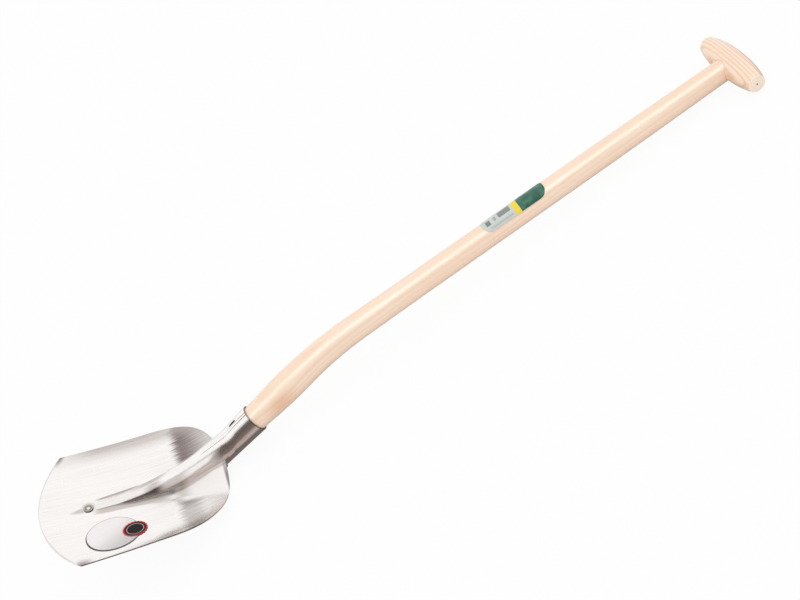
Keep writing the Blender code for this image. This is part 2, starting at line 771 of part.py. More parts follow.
def screw_matrix():
    """On the socket's outside, local Z pointing out, on its underside."""
    s = SOCKET_LENGTH - SCREW_FROM_MOUTH
    surface = socket_point(s, math.pi, socket_radius(s))
    out = (surface - socket_point(s, 0, 0)).normalized()
    return frame_matrix(surface, out, FORWARD)


def nail_matrix():
    """At the bottom of the nail's sink in the back of the grip, local Z pointing out."""
    out = Vector((math.sin(SHAFT_PITCH), 0, -math.cos(SHAFT_PITCH)))
    return frame_matrix(grip_axis() + out * (GRIP_RADIUS - NAIL_RECESS), out, (0, 1, 0))


def make_screw(parts, material):
    low = GAP + 0.0001
    head = SCREW_HEAD_HEIGHT + low
    profile = [(0, head), (SCREW_HEAD_RADIUS * 0.45, head - 0.0001), (SCREW_HEAD_RADIUS * 0.8, head - 0.0006),
               (SCREW_HEAD_RADIUS, head - 0.0014), (SCREW_HEAD_RADIUS, low), (SCREW_RADIUS, low),
               (SCREW_RADIUS, -SCREW_LENGTH * 0.8), (0, -SCREW_LENGTH)]
    return add_turned("socket_screw", parts, screw_matrix(), profile, 20, material)


def make_nail(parts, material):
    profile = [(0, 0), (NAIL_HEAD_RADIUS, 0), (NAIL_HEAD_RADIUS, -NAIL_HEAD_HEIGHT),
               (NAIL_RADIUS, -NAIL_HEAD_HEIGHT), (NAIL_RADIUS, -NAIL_LENGTH + 0.003), (0, -NAIL_LENGTH)]
    return add_turned("grip_nail", parts, nail_matrix(), profile, 16, material)


# Labels

def rounded_half_width(u, length, width, corner):
    """Half width of a rounded rectangle at u from its middle."""
    inset = max(abs(u) - (length / 2 - corner), 0)
    return width / 2 - corner + math.sqrt(max(corner * corner - inset * inset, 0))


def make_shaft_label(parts, material):
    """A rounded label wrapped onto the straight part of the shaft."""
    rows, columns = 18, 10
    bm = bmesh.new()
    bmesh.ops.create_grid(bm, x_segments=rows, y_segments=columns, size=0.5)
    front = Vector((-math.sin(SHAFT_PITCH), 0, math.cos(SHAFT_PITCH)))
    for vert in bm.verts:
        u = LABEL_LENGTH / 2 * math.sin(vert.co.x * math.pi) * 0.9999
        half = rounded_half_width(u, LABEL_LENGTH, LABEL_WIDTH, LABEL_CORNER)
        distance = LABEL_MIDDLE + u
        radius = shaft_radius(distance) + GAP + LABEL_THICKNESS
        angle = LABEL_TURN + vert.co.y * 2 * half / radius
        out = front * math.cos(angle) + Vector((0, 1, 0)) * math.sin(angle)
        vert.co = shaft_point(distance) + out * radius
    return finish_skin("shaft_label", bm, parts, material)


def finish_skin(name, bm, parts, material):
    """Gives an outer surface the label's thickness, inwards."""
    item = add_mesh(name, bm, parts, material)
    shell = item.modifiers.new("film", "SOLIDIFY")
    shell.thickness = LABEL_THICKNESS
    shell.offset = -1
    return item


def front_place(x, y):
    """Shares along and across the pan of a point in front of its shoulders."""
    along = 0.5
    for _ in range(8):
        across = abs(y) / side_half_width(along)
        start = edge_x(across * CORNER_WIDTH / 2)
        along = (x - start) / (SHOULDER_START - start)
    return along, across


def film_centre():
    half = side_half_width((FILM_CENTRE_X + EDGE_BOW) / (SHOULDER_START + EDGE_BOW))
    return FILM_CENTRE_X, FILM_FROM_SIDE + FILM_HALF_WIDTH - half


def tag_centre():
    x, y = film_centre()
    return x + TAG_FROM_FILM[0], y + TAG_FROM_FILM[1]


def make_oval(name, parts, material, centre, half_length, half_width, lift):
    """An oval film that follows the pan's top, lift above it."""
    bm = bmesh.new()
    bmesh.ops.create_grid(bm, x_segments=10, y_segments=10, size=1)
    for vert in bm.verts:
        u, v = vert.co.x, vert.co.y
        x = centre[0] + half_length * u * math.sqrt(1 - v * v / 2)
        y = centre[1] + half_width * v * math.sqrt(1 - u * u / 2)
        along, across = front_place(x, y)
        middle_x = mix(-EDGE_BOW, SHOULDER_START, along)
        vert.co = Vector((x, y, pan_height(x, middle_x, across) + lift))
    return finish_skin(name, bm, parts, material)


# The whole shovel

def mesh_points(items):
    graph = bpy.context.evaluated_depsgraph_get()
    points = []
    for item in items:
        mesh = item.evaluated_get(graph).data
        points += [item.matrix_world @ vert.co for vert in mesh.vertices]
    return points


def lowest(points, pitch):
    """Height of the lowest of the points once they are turned by pitch."""
    return min(point.z * math.cos(pitch) - point.x * math.sin(pitch) for point in points)


def rest_pitch(parts):
    """The shovel lies on its heel and its grip: finds the turn that brings both equally low."""
    bpy.context.view_layer.update()
    grip = mesh_points([parts.objects["grip"]])
    heel = mesh_points([item for item in parts.objects if item.name in ("blade", "back_strap", "socket")])
    flat, steep = 0.0, math.radians(60)
    for _ in range(30):
        pitch = (flat + steep) / 2
        if lowest(grip, pitch) > lowest(heel, pitch):
            flat = pitch
        else:
            steep = pitch
    return pitch


def lay_down(parts, cutters):
    """Turns everything to its rest, then puts the origin on the ground below the middle."""
    pitch = rest_pitch(parts)
    pieces = list(parts.objects)
    holder = bpy.data.objects.new("rest_pose", None)
    parts.objects.link(holder)
    for item in pieces + list(cutters.objects):
        item.parent = holder
    holder.rotation_euler = (0, pitch, 0)
    bpy.context.view_layer.update()
    corners = mesh_points(pieces)
    low = [min(corner[k] for corner in corners) for k in range(3)]
    high = [max(corner[k] for corner in corners) for k in range(3)]
    holder.location = (-(low[0] + high[0]) / 2, -(low[1] + high[1]) / 2, -low[2])
    bpy.context.view_layer.update()


def main():
    clear_scene()
    parts = new_collection("scoop_shovel")
    cutters = new_collection("cutters")
    steel = make_material("steel", STEEL, 0.3, 1.0)
    ash = make_material("ash", ASH, 0.5, 0.0)
    label = make_material("label", (0.10, 0.28, 0.16), 0.4, 0.0)
    film = make_material("film", (0.80, 0.80, 0.80), 0.3, 0.0)
    tag = make_material("tag", (0.10, 0.09, 0.09), 0.4, 0.0)
    make_blade(parts, cutters, steel)
    make_strap(parts, cutters, steel)
    make_rivet(parts, steel)
    make_socket(parts, cutters, steel)
    make_weld("neck_weld_far", 1, parts, steel)
    make_weld("neck_weld_near", -1, parts, steel)
    make_shaft(parts, cutters, ash)
    make_grip(parts, cutters, ash)
    make_screw(parts, steel)
    make_nail(parts, steel)
    make_shaft_label(parts, label)
    lift = GAP + LABEL_THICKNESS
    make_oval("blade_sticker", parts, film, film_centre(), FILM_HALF_LENGTH, FILM_HALF_WIDTH, lift)
    make_oval("sticker_tag", parts, tag, tag_centre(), TAG_HALF_LENGTH, TAG_HALF_WIDTH, 2 * lift)
    lay_down(parts, cutters)


main()
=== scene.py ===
from math import atan2, copysign, cos, hypot, pi, radians, sin, sqrt, tan

import bmesh
import bpy
from mathutils import Matrix, Vector


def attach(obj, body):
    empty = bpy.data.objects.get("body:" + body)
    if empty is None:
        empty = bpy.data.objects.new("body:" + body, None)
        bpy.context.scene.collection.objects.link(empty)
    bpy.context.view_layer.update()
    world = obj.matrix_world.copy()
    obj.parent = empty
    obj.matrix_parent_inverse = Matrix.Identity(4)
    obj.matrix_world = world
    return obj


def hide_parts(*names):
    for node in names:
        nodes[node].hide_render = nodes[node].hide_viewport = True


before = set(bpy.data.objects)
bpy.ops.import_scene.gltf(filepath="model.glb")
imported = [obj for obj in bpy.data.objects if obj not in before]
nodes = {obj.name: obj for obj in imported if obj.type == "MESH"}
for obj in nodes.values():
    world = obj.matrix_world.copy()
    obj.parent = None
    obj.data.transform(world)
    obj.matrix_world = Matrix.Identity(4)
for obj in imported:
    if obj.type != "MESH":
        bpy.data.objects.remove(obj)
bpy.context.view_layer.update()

# The sizes are those of the solids, but for the ridge's foot, the slot and the welds, which are
# finished here. All is modelled on the blade, whose origin lies midway between the corners of the
# cutting edge, and then laid down: turn and shift of that rest.
REST_PITCH = atan2(0.51496, 0.85721)
REST_SHIFT = Vector((-0.55823, 0, 0.11393))
REST = Matrix.Translation(REST_SHIFT) @ Matrix.Rotation(REST_PITCH, 4, "Y")

CORNER_WIDTH = 0.220
EDGE_BOW = 0.0443
GRIND_WIDTH = 0.0045
GRIND_DROP = 0.0012
SHOULDER_START = 0.120
SIDE_TAPER = 0.003
BACK_RIM = 0.232
SHOULDER_POWER = 3.0
SHEET = 0.002
TIP_DEPTH = 0.0055
FLOOR_DEPTH = 0.0110
FLOOR_START = 0.060
HEEL_START = 0.130
HEEL_POWER = 1.6
RIM_RISE = 0.010
RIM_RISE_START = 0.200
SIDE_CURL = 4.5

RIVET_X = 0.0266
RIVET_HEAD_RADIUS = 0.0072
SEAT_BLEND = 0.006
NOSE_FADE = 0.026
NOSE_HEIGHT = 0.0018
NOSE_HALF_WIDTH = 0.0058
NOSE_FOOT = 0.0080
NECK_FOOT = 0.0340
NECK_FOOT_POWER = 1.3
NOSE_REACH = 0.085
NECK_REACH = 0.084
NECK_SLOPE = radians(31.5)
RIDGE_FLARE = 0.85
FOOT_FLARE = 4.0
ROUND_SHARE = 0.62
ROUND_FROM = 0.45
EDGE_SPREAD = 0.030

NECK_RADIUS = 0.0210
RIM_RADIUS = 0.0226
SOCKET_SINK = 0.0030
SOCKET_LENGTH = 0.0736
SOCKET_PITCH = radians(40.0)
SOCKET_WALL = 0.002
SEAM_ANGLE = radians(-14.5)
SEAM_HALF_TURN = 0.020
SEAM_OPENING = (0.6, 1.9)     # shares of that at the neck and at the mouth
SEAM_CLEAR = 0.05             # turn beside the seam that no other column enters
SEAM_DEPTH = 0.0006
SEAM_DEPTH_AT_MOUTH = 0.0018
TUBE_BLEND = 0.030            # length in which the ridge's direction becomes the tube's
MOUTH_ROUND = 0.0007
SLOT_FROM_MOUTH = 0.0278
SLOT_LENGTH = 0.0124
SLOT_WIDTH = 0.0036
SLOT_ANGLE = radians(5.0)

BEND_START = 0.0955
BEND_RADIUS = 0.530
SHAFT_PITCH = radians(27.8)
STRAIGHT_LENGTH = 0.6427
SHAFT_IN_SOCKET = 0.052
GAP = 0.0003
HAIR = 0.0001     # keeps touching surfaces apart
SHAFT_KNOTS = [(0.014, 0.0208), (0.068, 0.0228), (0.160, 0.0204), (0.300, 0.0189), (0.640, 0.0180)]
TOP_RADIUS = 0.0162
TENON_RADIUS = 0.0110
TENON_PAST_AXIS = 0.0100
SHOULDER_FROM_AXIS = 0.0115
GRIP_LENGTH = 0.1275
GRIP_RADIUS = 0.0204
GRIP_END_RADIUS = 0.0121
GRIP_END_ROUND = 0.0016
CENTRE_MARK = 0.0013
NAIL_HEAD_RADIUS = 0.0030
NAIL_RECESS = 0.0006

RIVET_SHANK_RADIUS = 0.0030
RIVET_HEAD_HEIGHT = 0.0013
RIVET_DISH = 0.0008
RIVET_TAIL_RADIUS = 0.0055
RIVET_TAIL_HEIGHT = 0.0016
STRAP_THICKNESS = 0.002
SHEET_UPRIGHT = SHEET * 1.04     # straight down under the rivet
WELD_RADIUS = 0.0015
WELD_LINE_RADIUS = 0.0011
WELD_FROM = radians(100)
WELD_TO = radians(140)

SKIN = 0.0002
LABEL_MIDDLE = 0.486
LABEL_LENGTH = 0.104
LABEL_WIDTH = 0.034
LABEL_CORNER = 0.014
FILM_CENTRE_X = 0.0525
FILM_FROM_SIDE = 0.0130
FILM_HALF = (0.039, 0.033)
TAG_FROM_FILM = (0.0315, -0.0015)
TAG_HALF = (0.0178, 0.0150)
TAG_LOBES = 22
TAG_LOBE = 0.028

# Camera in the blade's own frame
LENS = 54
CAMERA_PLACE = Vector((0.0904, -1.2766, 1.3151))
CAMERA_RIGHT = Vector((0.9394, -0.3415, -0.0301))
CAMERA_DOWN = Vector((-0.236, -0.5808, -0.7791))
CAMERA_AHEAD = Vector((0.2486, 0.739, -0.6262))


def add_camera():
    camera = new_object("camera", bpy.data.cameras.new("camera"))
    camera.data.lens = LENS
    camera.data.sensor_width = 36
    camera.data.clip_end = 50
    turn = Matrix((CAMERA_RIGHT, -CAMERA_DOWN, -CAMERA_AHEAD)).transposed().to_4x4()
    camera.matrix_world = REST @ Matrix.Translation(CAMERA_PLACE) @ turn
    bpy.context.scene.camera = camera


# Small helpers

def new_object(name, data):
    item = bpy.data.objects.new(name, data)
    bpy.context.scene.collection.objects.link(item)
    return item


def mix(a, b, share):
    return a + (b - a) * share


def clamp(value):
    return max(0.0, min(1.0, value))


def smooth_step(value):
    value = clamp(value)
    return value * value * (3 - 2 * value)


def on_side(point, side):
    """The point for side 1, its mirror image for side -1."""
    return Vector((point.x, side * point.y, point.z))


def direction(pitch):
    return Vector((cos(pitch), 0, sin(pitch)))


def front_of(pitch):
    """Square to that direction, towards the seam's side."""
    return Vector((-sin(pitch), 0, cos(pitch)))


def turns(count):
    return [2 * pi * step / count for step in range(count)]


NECK_AXIS_HEIGHT = RIM_RISE - SOCKET_SINK + NECK_RADIUS / cos(SOCKET_PITCH)
BEND_LENGTH = BEND_RADIUS * (SOCKET_PITCH - SHAFT_PITCH)
GRIP_AXIS = BEND_START + BEND_LENGTH + STRAIGHT_LENGTH     # from the socket's mouth along the shaft
SHAFT_TOP = GRIP_AXIS - SHOULDER_FROM_AXIS
ACROSS = Vector((0, 1, 0))
FORWARD = direction(SOCKET_PITCH)
SHAFT_DIRECTION = direction(SHAFT_PITCH)


# Pan

def edge_x(y):
    half = CORNER_WIDTH / 2
    radius = (half * half + EDGE_BOW * EDGE_BOW) / (2 * EDGE_BOW)
    return (radius - EDGE_BOW) - sqrt(max(radius * radius - y * y, 0.0))


def rim_height(x):
    return RIM_RISE * clamp(x / RIM_RISE_START) ** 2


def floor_height(x):
    if x < FLOOR_START:
        share = clamp((x + EDGE_BOW) / (FLOOR_START + EDGE_BOW))
        return -mix(TIP_DEPTH, FLOOR_DEPTH, sin(share * pi / 2))
    rise = clamp((x - HEEL_START) / (BACK_RIM - HEEL_START)) ** HEEL_POWER
    return mix(-FLOOR_DEPTH, RIM_RISE, rise)


def crest_height(x):
    nose = Vector((RIVET_X, floor_height(RIVET_X) + NOSE_HEIGHT))
    neck = Vector((BACK_RIM, NECK_AXIS_HEIGHT + NECK_RADIUS / cos(SOCKET_PITCH)))
    low = nose + Vector((NOSE_REACH, NOSE_REACH * 0.03))
    high = neck - Vector((cos(NECK_SLOPE), sin(NECK_SLOPE))) * NECK_REACH
    before, after = 0.0, 1.0
    for _ in range(30):
        s = (before + after) / 2
        point = (nose * (1 - s) ** 3 + low * 3 * s * (1 - s) ** 2
                 + high * 3 * s * s * (1 - s) + neck * s ** 3)
        if point.x < x:
            before = s
        else:
            after = s
    return point.y


def ridge_height(x):
    if x < RIVET_X:
        return NOSE_HEIGHT * smooth_step(1 - (RIVET_X - x) / NOSE_FADE)
    return crest_height(x) - floor_height(x)


class Ridge:
    """The ridge's section at one place along the pan."""

    def __init__(self, x):
        share = max((x - RIVET_X) / (BACK_RIM - RIVET_X), 0.0)
        self.half = mix(NOSE_HALF_WIDTH, NECK_RADIUS, share ** RIDGE_FLARE)
        self.foot = mix(NOSE_FOOT, NECK_FOOT, share ** FOOT_FLARE)
        self.height = ridge_height(x)
        self.top = min(self.half / cos(SOCKET_PITCH * share), ROUND_SHARE * self.height)
        self.bend = 2 / mix(2.0, NECK_FOOT_POWER, share)
        self.roundness = smooth_step(share / ROUND_FROM)
        self.fade = smooth_step((RIVET_X - x) / (RIVET_X + EDGE_BOW))

    def at(self, t):
        """Distance across and height, for t from 0 on the crest to 1 at the foot."""
        bell = Vector(((self.half + self.foot) * t, self.height * (1 + cos(pi * t)) / 2))
        if t < 0.5:
            angle = pi * t
            tube = Vector((self.half * sin(angle), self.height - self.top * (1 - cos(angle))))
        else:
            angle = pi * (t - 0.5)
            tube = Vector((self.half + self.foot * (1 - max(cos(angle), 0) ** self.bend),
                           (self.height - self.top) * (1 - sin(angle) ** self.bend)))
        section = bell.lerp(tube, self.roundness)
        return mix(section.x, EDGE_SPREAD * t, self.fade), section.y


def side_half_width(along):
    return CORNER_WIDTH / 2 - SIDE_TAPER * along


def pan_height(x, middle_x, across):
    depth = rim_height(middle_x) - floor_height(middle_x)
    return rim_height(x) - depth * (1 - across ** SIDE_CURL)


ROW_STEP, FINE_ROW_STEP, FINE_FROM_RIVET = 0.003, 0.0012, 0.024
BACK_ROWS, BACK_ROW_POWER = 44, 1.25
RIDGE_COLUMNS, PAN_COLUMNS, PAN_COLUMN_POWER = 48, 34, 1.35
SEAM_T = -SEAM_ANGLE / pi
SEAM_HALF_T = 0.0055
SEAM_CLEAR_T = 0.012


def pan_rows():
    """Row stations: (part, value), where part is front or back of the shoulder line."""
    length = SHOULDER_START + EDGE_BOW
    stations = [0, GRIND_WIDTH * 0.5, GRIND_WIDTH]
    x = GRIND_WIDTH
    while x < length:
        x += FINE_ROW_STEP if abs(x - EDGE_BOW - RIVET_X) < FINE_FROM_RIVET else ROW_STEP
        stations.append(min(x, length))
    back = [1 - (1 - step / BACK_ROWS) ** BACK_ROW_POWER for step in range(1, BACK_ROWS + 1)]
    return [("front", x / length) for x in stations] + [("back", share) for share in back]


def pan_columns():
    """Column stations from the middle to the rim: (part, value)."""
    even = [step / RIDGE_COLUMNS for step in range(RIDGE_COLUMNS + 1)]
    ridge = sorted([t for t in even if abs(t - SEAM_T) > SEAM_CLEAR_T]
                   + [SEAM_T - SEAM_HALF_T, SEAM_T, SEAM_T + SEAM_HALF_T])
    pan = [1 - (1 - step / PAN_COLUMNS) ** PAN_COLUMN_POWER for step in range(1, PAN_COLUMNS + 1)]
    return [("ridge", t) for t in ridge] + [("pan", share) for share in pan]


SEAT_HEIGHT = floor_height(RIVET_X) + NOSE_HEIGHT * 0.5


class PanRow:
    """One row across the pan."""

    def __init__(self, part, along):
        self.part, self.along = part, along
        if part == "front":
            self.half_width = side_half_width(along)
            self.middle_x = mix(-EDGE_BOW, SHOULDER_START, along)
        else:
            stretch = (1 - along ** SHOULDER_POWER / 2) ** (1 / SHOULDER_POWER)
            self.half_width = side_half_width(1) * stretch
            self.middle_x = mix(SHOULDER_START, BACK_RIM, along)
        self.ridge = Ridge(self.middle_x)
        self.foot_y = self.ridge.at(1)[0]

    def point(self, zone, t):
        if zone == "ridge":
            y, lift = self.ridge.at(t)
        else:
            y, lift = mix(self.foot_y, self.half_width, t), 0.0
        across = y / self.half_width
        if self.part == "front":
            x = mix(edge_x(across * CORNER_WIDTH / 2), SHOULDER_START, self.along)
        else:
            bend = (1 - across ** SHOULDER_POWER / 2) ** (1 / SHOULDER_POWER)
            x = SHOULDER_START + (BACK_RIM - SHOULDER_START) * self.along * bend
        z = pan_height(x, self.middle_x, across) + lift
        from_rivet = hypot(x - RIVET_X, y)
        seat = 1 - smooth_step((from_rivet - RIVET_HEAD_RADIUS) / SEAT_BLEND)
        return Vector((x, y, mix(z, SEAT_HEIGHT, seat)))


def grid_object(name, rows, closed=False):
    """Smooth surface through rows of (point, lay, marks). Points are in the blade's frame, lay and
    marks are vectors for the material, and marks may be left out."""
    bm = bmesh.new()
    verts = [[bm.verts.new(REST @ point) for point, *_ in row] for row in rows]
    count = len(rows[0])
    for row, after in zip(verts, verts[1:]):
        for j in range(count if closed else count - 1):
            k = (j + 1) % count
            bm.faces.new((row[j], row[k], after[k], after[j]))
    bm.normal_update()
    if not closed and sum(face.normal.z for face in bm.faces) < 0:
        bmesh.ops.reverse_faces(bm, faces=bm.faces)
    item = mesh_object(name, bm)
    columns = list(zip(*[vertex for row in rows for vertex in row]))
    for label, vectors in zip(("lay", "marks"), columns[1:]):
        layer = item.data.attributes.new(label, "FLOAT_VECTOR", "POINT")
        layer.data.foreach_set("vector", [number for vector in vectors for number in vector])
    if closed:
        weld_doubles(item)
    return item


def weld_doubles(item):
    bm = bmesh.new()
    bm.from_mesh(item.data)
    bmesh.ops.remove_doubles(bm, verts=bm.verts, dist=0.000001)
    bmesh.ops.recalc_face_normals(bm, faces=bm.faces)
    bm.to_mesh(item.data)
    bm.free()


def mesh_object(name, bm):
    mesh = bpy.data.meshes.new(name)
    bm.to_mesh(mesh)
    bm.free()
    mesh.shade_smooth()
    return new_object(name, mesh)


FOOT_UNIT = 0.010
SEAM_END, SEAM_FADE = 0.196, 0.010


def seam_depth(x):
    """The seam runs out on the ridge a little in front of the neck."""
    return SEAM_DEPTH * smooth_step((x - SEAM_END) / SEAM_FADE)


def make_pan():
    """lay: places along and across, unrolled. marks: seam, place on the ridge, share across."""
    columns = pan_columns()
    feet = max(i for i, (zone, _) in enumerate(columns) if zone == "ridge")
    rows = []
    for part, along in pan_rows():
        row = PanRow(part, along)
        half = [row.point(zone, t) for zone, t in columns]
        if part == "front" and along == 0:
            for point in half:
                point.z -= GRIND_DROP
        across = [point.y for point in half]
        for i in range(feet - 1, -1, -1):
            across[i] = across[i + 1] - (half[i + 1] - half[i]).length
        near, far = [], []
        for (zone, t), point, v in zip(columns, half, across):
            foot = t if zone == "ridge" else 1 + (point.y - row.foot_y) / FOOT_UNIT
            side = point.y / row.half_width
            depth = seam_depth(point.x) if (zone, t) == ("ridge", SEAM_T) else 0.0
            near.append((Vector((point.x, -point.y, point.z - depth)), (point.x, -v, 0),
                         (1.0 if depth > SEAM_DEPTH / 3 else 0.0, -foot, -side)))
            far.append((point, (point.x, v, 0), (0.0, foot, side)))
        rows.append(near[::-1] + far[1:])
    pan = grid_object("pan", rows)
    full = pan.vertex_groups.new(name="full_thickness")
    full.add(list(range(len(rows[0]), len(pan.data.vertices))), 1.0, "REPLACE")
    shell = pan.modifiers.new("sheet", "SOLIDIFY")
    shell.thickness = SHEET
    shell.offset = -1
    shell.use_even_offset = True
    shell.vertex_group = "full_thickness"
    shell.thickness_vertex_group = (SHEET - GRIND_DROP) / SHEET
    rim = pan.modifiers.new("rim", "BEVEL")
    rim.width = 0.0005
    rim.segments = 2
    rim.limit_method = "ANGLE"
    rim.angle_limit = radians(50)
    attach(pan, "root")
    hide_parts("blade")
    return pan


# Socket

TUBE_RINGS, TUBE_RING_POWER = 36, 1.2


def socket_point(s, angle, radius):
    axis = Vector((BACK_RIM, 0, NECK_AXIS_HEIGHT)) + FORWARD * s
    out = front_of(SOCKET_PITCH) * cos(angle) + ACROSS * sin(angle)
    return axis + out * radius


def socket_radius(s):
    return mix(NECK_RADIUS, RIM_RADIUS, s / SOCKET_LENGTH)


def neck_plane_s(angle, radius):
    return radius * tan(SOCKET_PITCH) * cos(angle)


def socket_angles():
    seam = [SEAM_ANGLE - SEAM_HALF_TURN, SEAM_ANGLE, SEAM_ANGLE + SEAM_HALF_TURN]
    even = [radians(step) for step in range(-180, 180, 4)]
    return sorted([a for a in even if abs(a - SEAM_ANGLE) > SEAM_CLEAR] + seam)


def socket_starts(angles):
    """Where the tube's outside starts at each angle and in which direction, as the ridge ends."""
    last, before = PanRow("back", 1.0), PanRow("back", 0.97)
    starts = {}
    for angle in angles:
        start, slope = socket_point(neck_plane_s(angle, NECK_RADIUS), angle, NECK_RADIUS), FORWARD
        if abs(angle) <= pi / 2:
            t, side = abs(angle) / pi, (1 if angle >= 0 else -1)
            start = last.point("ridge", t)
            slope = start - before.point("ridge", t)
            start, slope = on_side(start, side), on_side(slope / slope.dot(FORWARD), side)
        starts[angle] = start, slope
    return starts


def tube_point(angle, share, start, slope):
    """A point on the outside, lay and marks. The seam opens and deepens towards the mouth."""
    s_start = neck_plane_s(angle, NECK_RADIUS)
    s = mix(s_start, SOCKET_LENGTH - MOUTH_ROUND, share)
    to_mouth = smooth_step(s / SOCKET_LENGTH)
    turn, beside = angle, angle - SEAM_ANGLE
    if 0 < abs(beside) < SEAM_CLEAR:
        turn = SEAM_ANGLE + copysign(mix(*SEAM_OPENING, to_mouth) * SEAM_HALF_TURN, beside)
    tube = socket_point(s, turn, socket_radius(s))
    point = (start + slope * (s - s_start)).lerp(tube, smooth_step((s - s_start) / TUBE_BLEND))
    if beside == 0:
        out = (point - socket_point(s, 0, 0)).normalized()
        point = point - out * mix(SEAM_DEPTH, SEAM_DEPTH_AT_MOUTH, to_mouth)
    return point, (s, angle * NECK_RADIUS, 0), (1.0 if beside == 0 else 0.0, 1.0, 0)


def mouth_rings():
    """(s, radius) over the rounded mouth and down the inside."""
    rings = []
    for angle in (radians(turn) for turn in (30, 60, 90)):
        rings.append((SOCKET_LENGTH - MOUTH_ROUND * (1 - sin(angle)),
                      RIM_RADIUS - MOUTH_ROUND * (1 - cos(angle))))
    for down in (sin(radians(turn)) for turn in (0, 45, 90)):
        rings.append((SOCKET_LENGTH - MOUTH_ROUND * 0.35 * down,
                      RIM_RADIUS - SOCKET_WALL + MOUTH_ROUND * 0.5 * (1 - down)))
    inside = [SOCKET_LENGTH * 0.6, SOCKET_LENGTH * 0.3]
    return rings + [(s, socket_radius(s) - SOCKET_WALL) for s in inside]


def make_tube():
    """It leaves the ridge without a step. lay: s, place round. marks: seam, 0 in the slot."""
    angles = socket_angles()
    starts = socket_starts(angles)
    shares = [(step / TUBE_RINGS) ** TUBE_RING_POWER for step in range(TUBE_RINGS + 1)]
    rows = [[tube_point(angle, share, *starts[angle]) for angle in angles] for share in shares]
    uncut = (0, 1.0, 0)
    rows += [[(socket_point(s, angle, radius), (s, angle * NECK_RADIUS, 0), uncut) for angle in angles]
             for s, radius in mouth_rings()]
    inner = NECK_RADIUS - SOCKET_WALL
    rows.append([(socket_point(neck_plane_s(angle, inner), angle, inner), (0, angle * inner, 0), uncut)
                 for angle in angles])
    tube = grid_object("tube", rows + rows[:1], closed=True)
    cut_slot(tube)
    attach(tube, "root")
    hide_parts("socket")
    return tube


CUT_FROM, CUT_TO = 0.015, 0.027     # from the axis


def cut_slot(tube):
    """Punches the short slot with round ends through the wall."""
    bm = bmesh.new()
    round_end = SLOT_WIDTH / 2
    ring = []
    for side in (-1, 1):
        for turn in range(-90, 91, 15):
            angle = radians(turn)
            z = side * (SLOT_LENGTH / 2 - round_end + round_end * cos(angle))
            ring.append(bm.verts.new((CUT_FROM, round_end * sin(angle) * side, z)))
    grown = bmesh.ops.extrude_face_region(bm, geom=[bm.faces.new(ring)])
    moved = [v for v in grown["geom"] if isinstance(v, bmesh.types.BMVert)]
    bmesh.ops.translate(bm, verts=moved, vec=(CUT_TO - CUT_FROM, 0, 0))
    bmesh.ops.recalc_face_normals(bm, faces=bm.faces)
    cutter = mesh_object("slot_cut", bm)
    out = socket_point(0, SLOT_ANGLE, 1) - socket_point(0, 0, 0)
    place = socket_point(SOCKET_LENGTH - SLOT_FROM_MOUTH, 0, 0)
    cutter.matrix_world = REST @ frame_matrix(place, FORWARD, out)
    cut_away(tube, cutter)
    tube.data.set_sharp_from_angle(angle=radians(50))


def cut_away(item, cutter):
    cut = item.modifiers.new("cut", "BOOLEAN")
    cut.operation = "DIFFERENCE"
    cut.solver = "EXACT"
    cut.object = cutter
    bpy.context.view_layer.update()
    graph = bpy.context.evaluated_depsgraph_get()
    mesh = bpy.data.meshes.new_from_object(item.evaluated_get(graph))
    item.modifiers.clear()
    item.data = mesh
    bpy.data.objects.remove(cutter)


# Shaft

def shaft_point(distance):
    """A point on the shaft's centre line, by its distance from the socket's mouth."""
    mouth = socket_point(SOCKET_LENGTH, 0, 0)
    if distance <= BEND_START:
        return mouth + FORWARD * distance
    start = mouth + FORWARD * BEND_START
    turned = min(distance - BEND_START, BEND_LENGTH) / BEND_RADIUS
    chord = 2 * BEND_RADIUS * sin(turned / 2)
    pitch = SOCKET_PITCH - turned / 2
    beyond = max(distance - BEND_START - BEND_LENGTH, 0)
    return start + direction(pitch) * chord + SHAFT_DIRECTION * beyond


def smooth_through(knots, x):
    """A smooth curve through the knots that never swings past them."""
    slopes = [(b[1] - a[1]) / (b[0] - a[0]) for a, b in zip(knots, knots[1:])]
    tangents = [slopes[0]]
    for a, b in zip(slopes, slopes[1:]):
        tangents.append(2 * a * b / (a + b) if a * b > 0 else 0.0)
    tangents.append(slopes[-1])
    i = max(k for k in range(len(slopes)) if k == 0 or knots[k][0] <= x)
    (x0, y0), (x1, y1) = knots[i], knots[i + 1]
    width = x1 - x0
    t = clamp((x - x0) / width)
    return ((2 * t ** 3 - 3 * t ** 2 + 1) * y0 + (t ** 3 - 2 * t ** 2 + t) * width * tangents[i]
            + (3 * t ** 2 - 2 * t ** 3) * y1 + (t ** 3 - t ** 2) * width * tangents[i + 1])


SHAFT_SIDES, SHAFT_RINGS = 72, 160


def inner_radius(s):
    return socket_radius(s) - SOCKET_WALL - GAP - HAIR


def shaft_radius(distance):
    if distance < 0:
        return inner_radius(SOCKET_LENGTH + distance)
    knots = [(0, inner_radius(SOCKET_LENGTH)), *SHAFT_KNOTS, (SHAFT_TOP, TOP_RADIUS)]
    return smooth_through(knots, distance)


def shaft_ring(distance, radius):
    """Points round the shaft. lay: their places in the shaft as if it was straight."""
    turned = min(max(distance - BEND_START, 0), BEND_LENGTH) / BEND_RADIUS
    front, centre = front_of(SOCKET_PITCH - turned), shaft_point(distance)
    ring = [(radius * sin(turn), radius * cos(turn)) for turn in turns(SHAFT_SIDES)]
    return [(centre + front * z + ACROSS * y, (distance, y, z)) for y, z in ring]


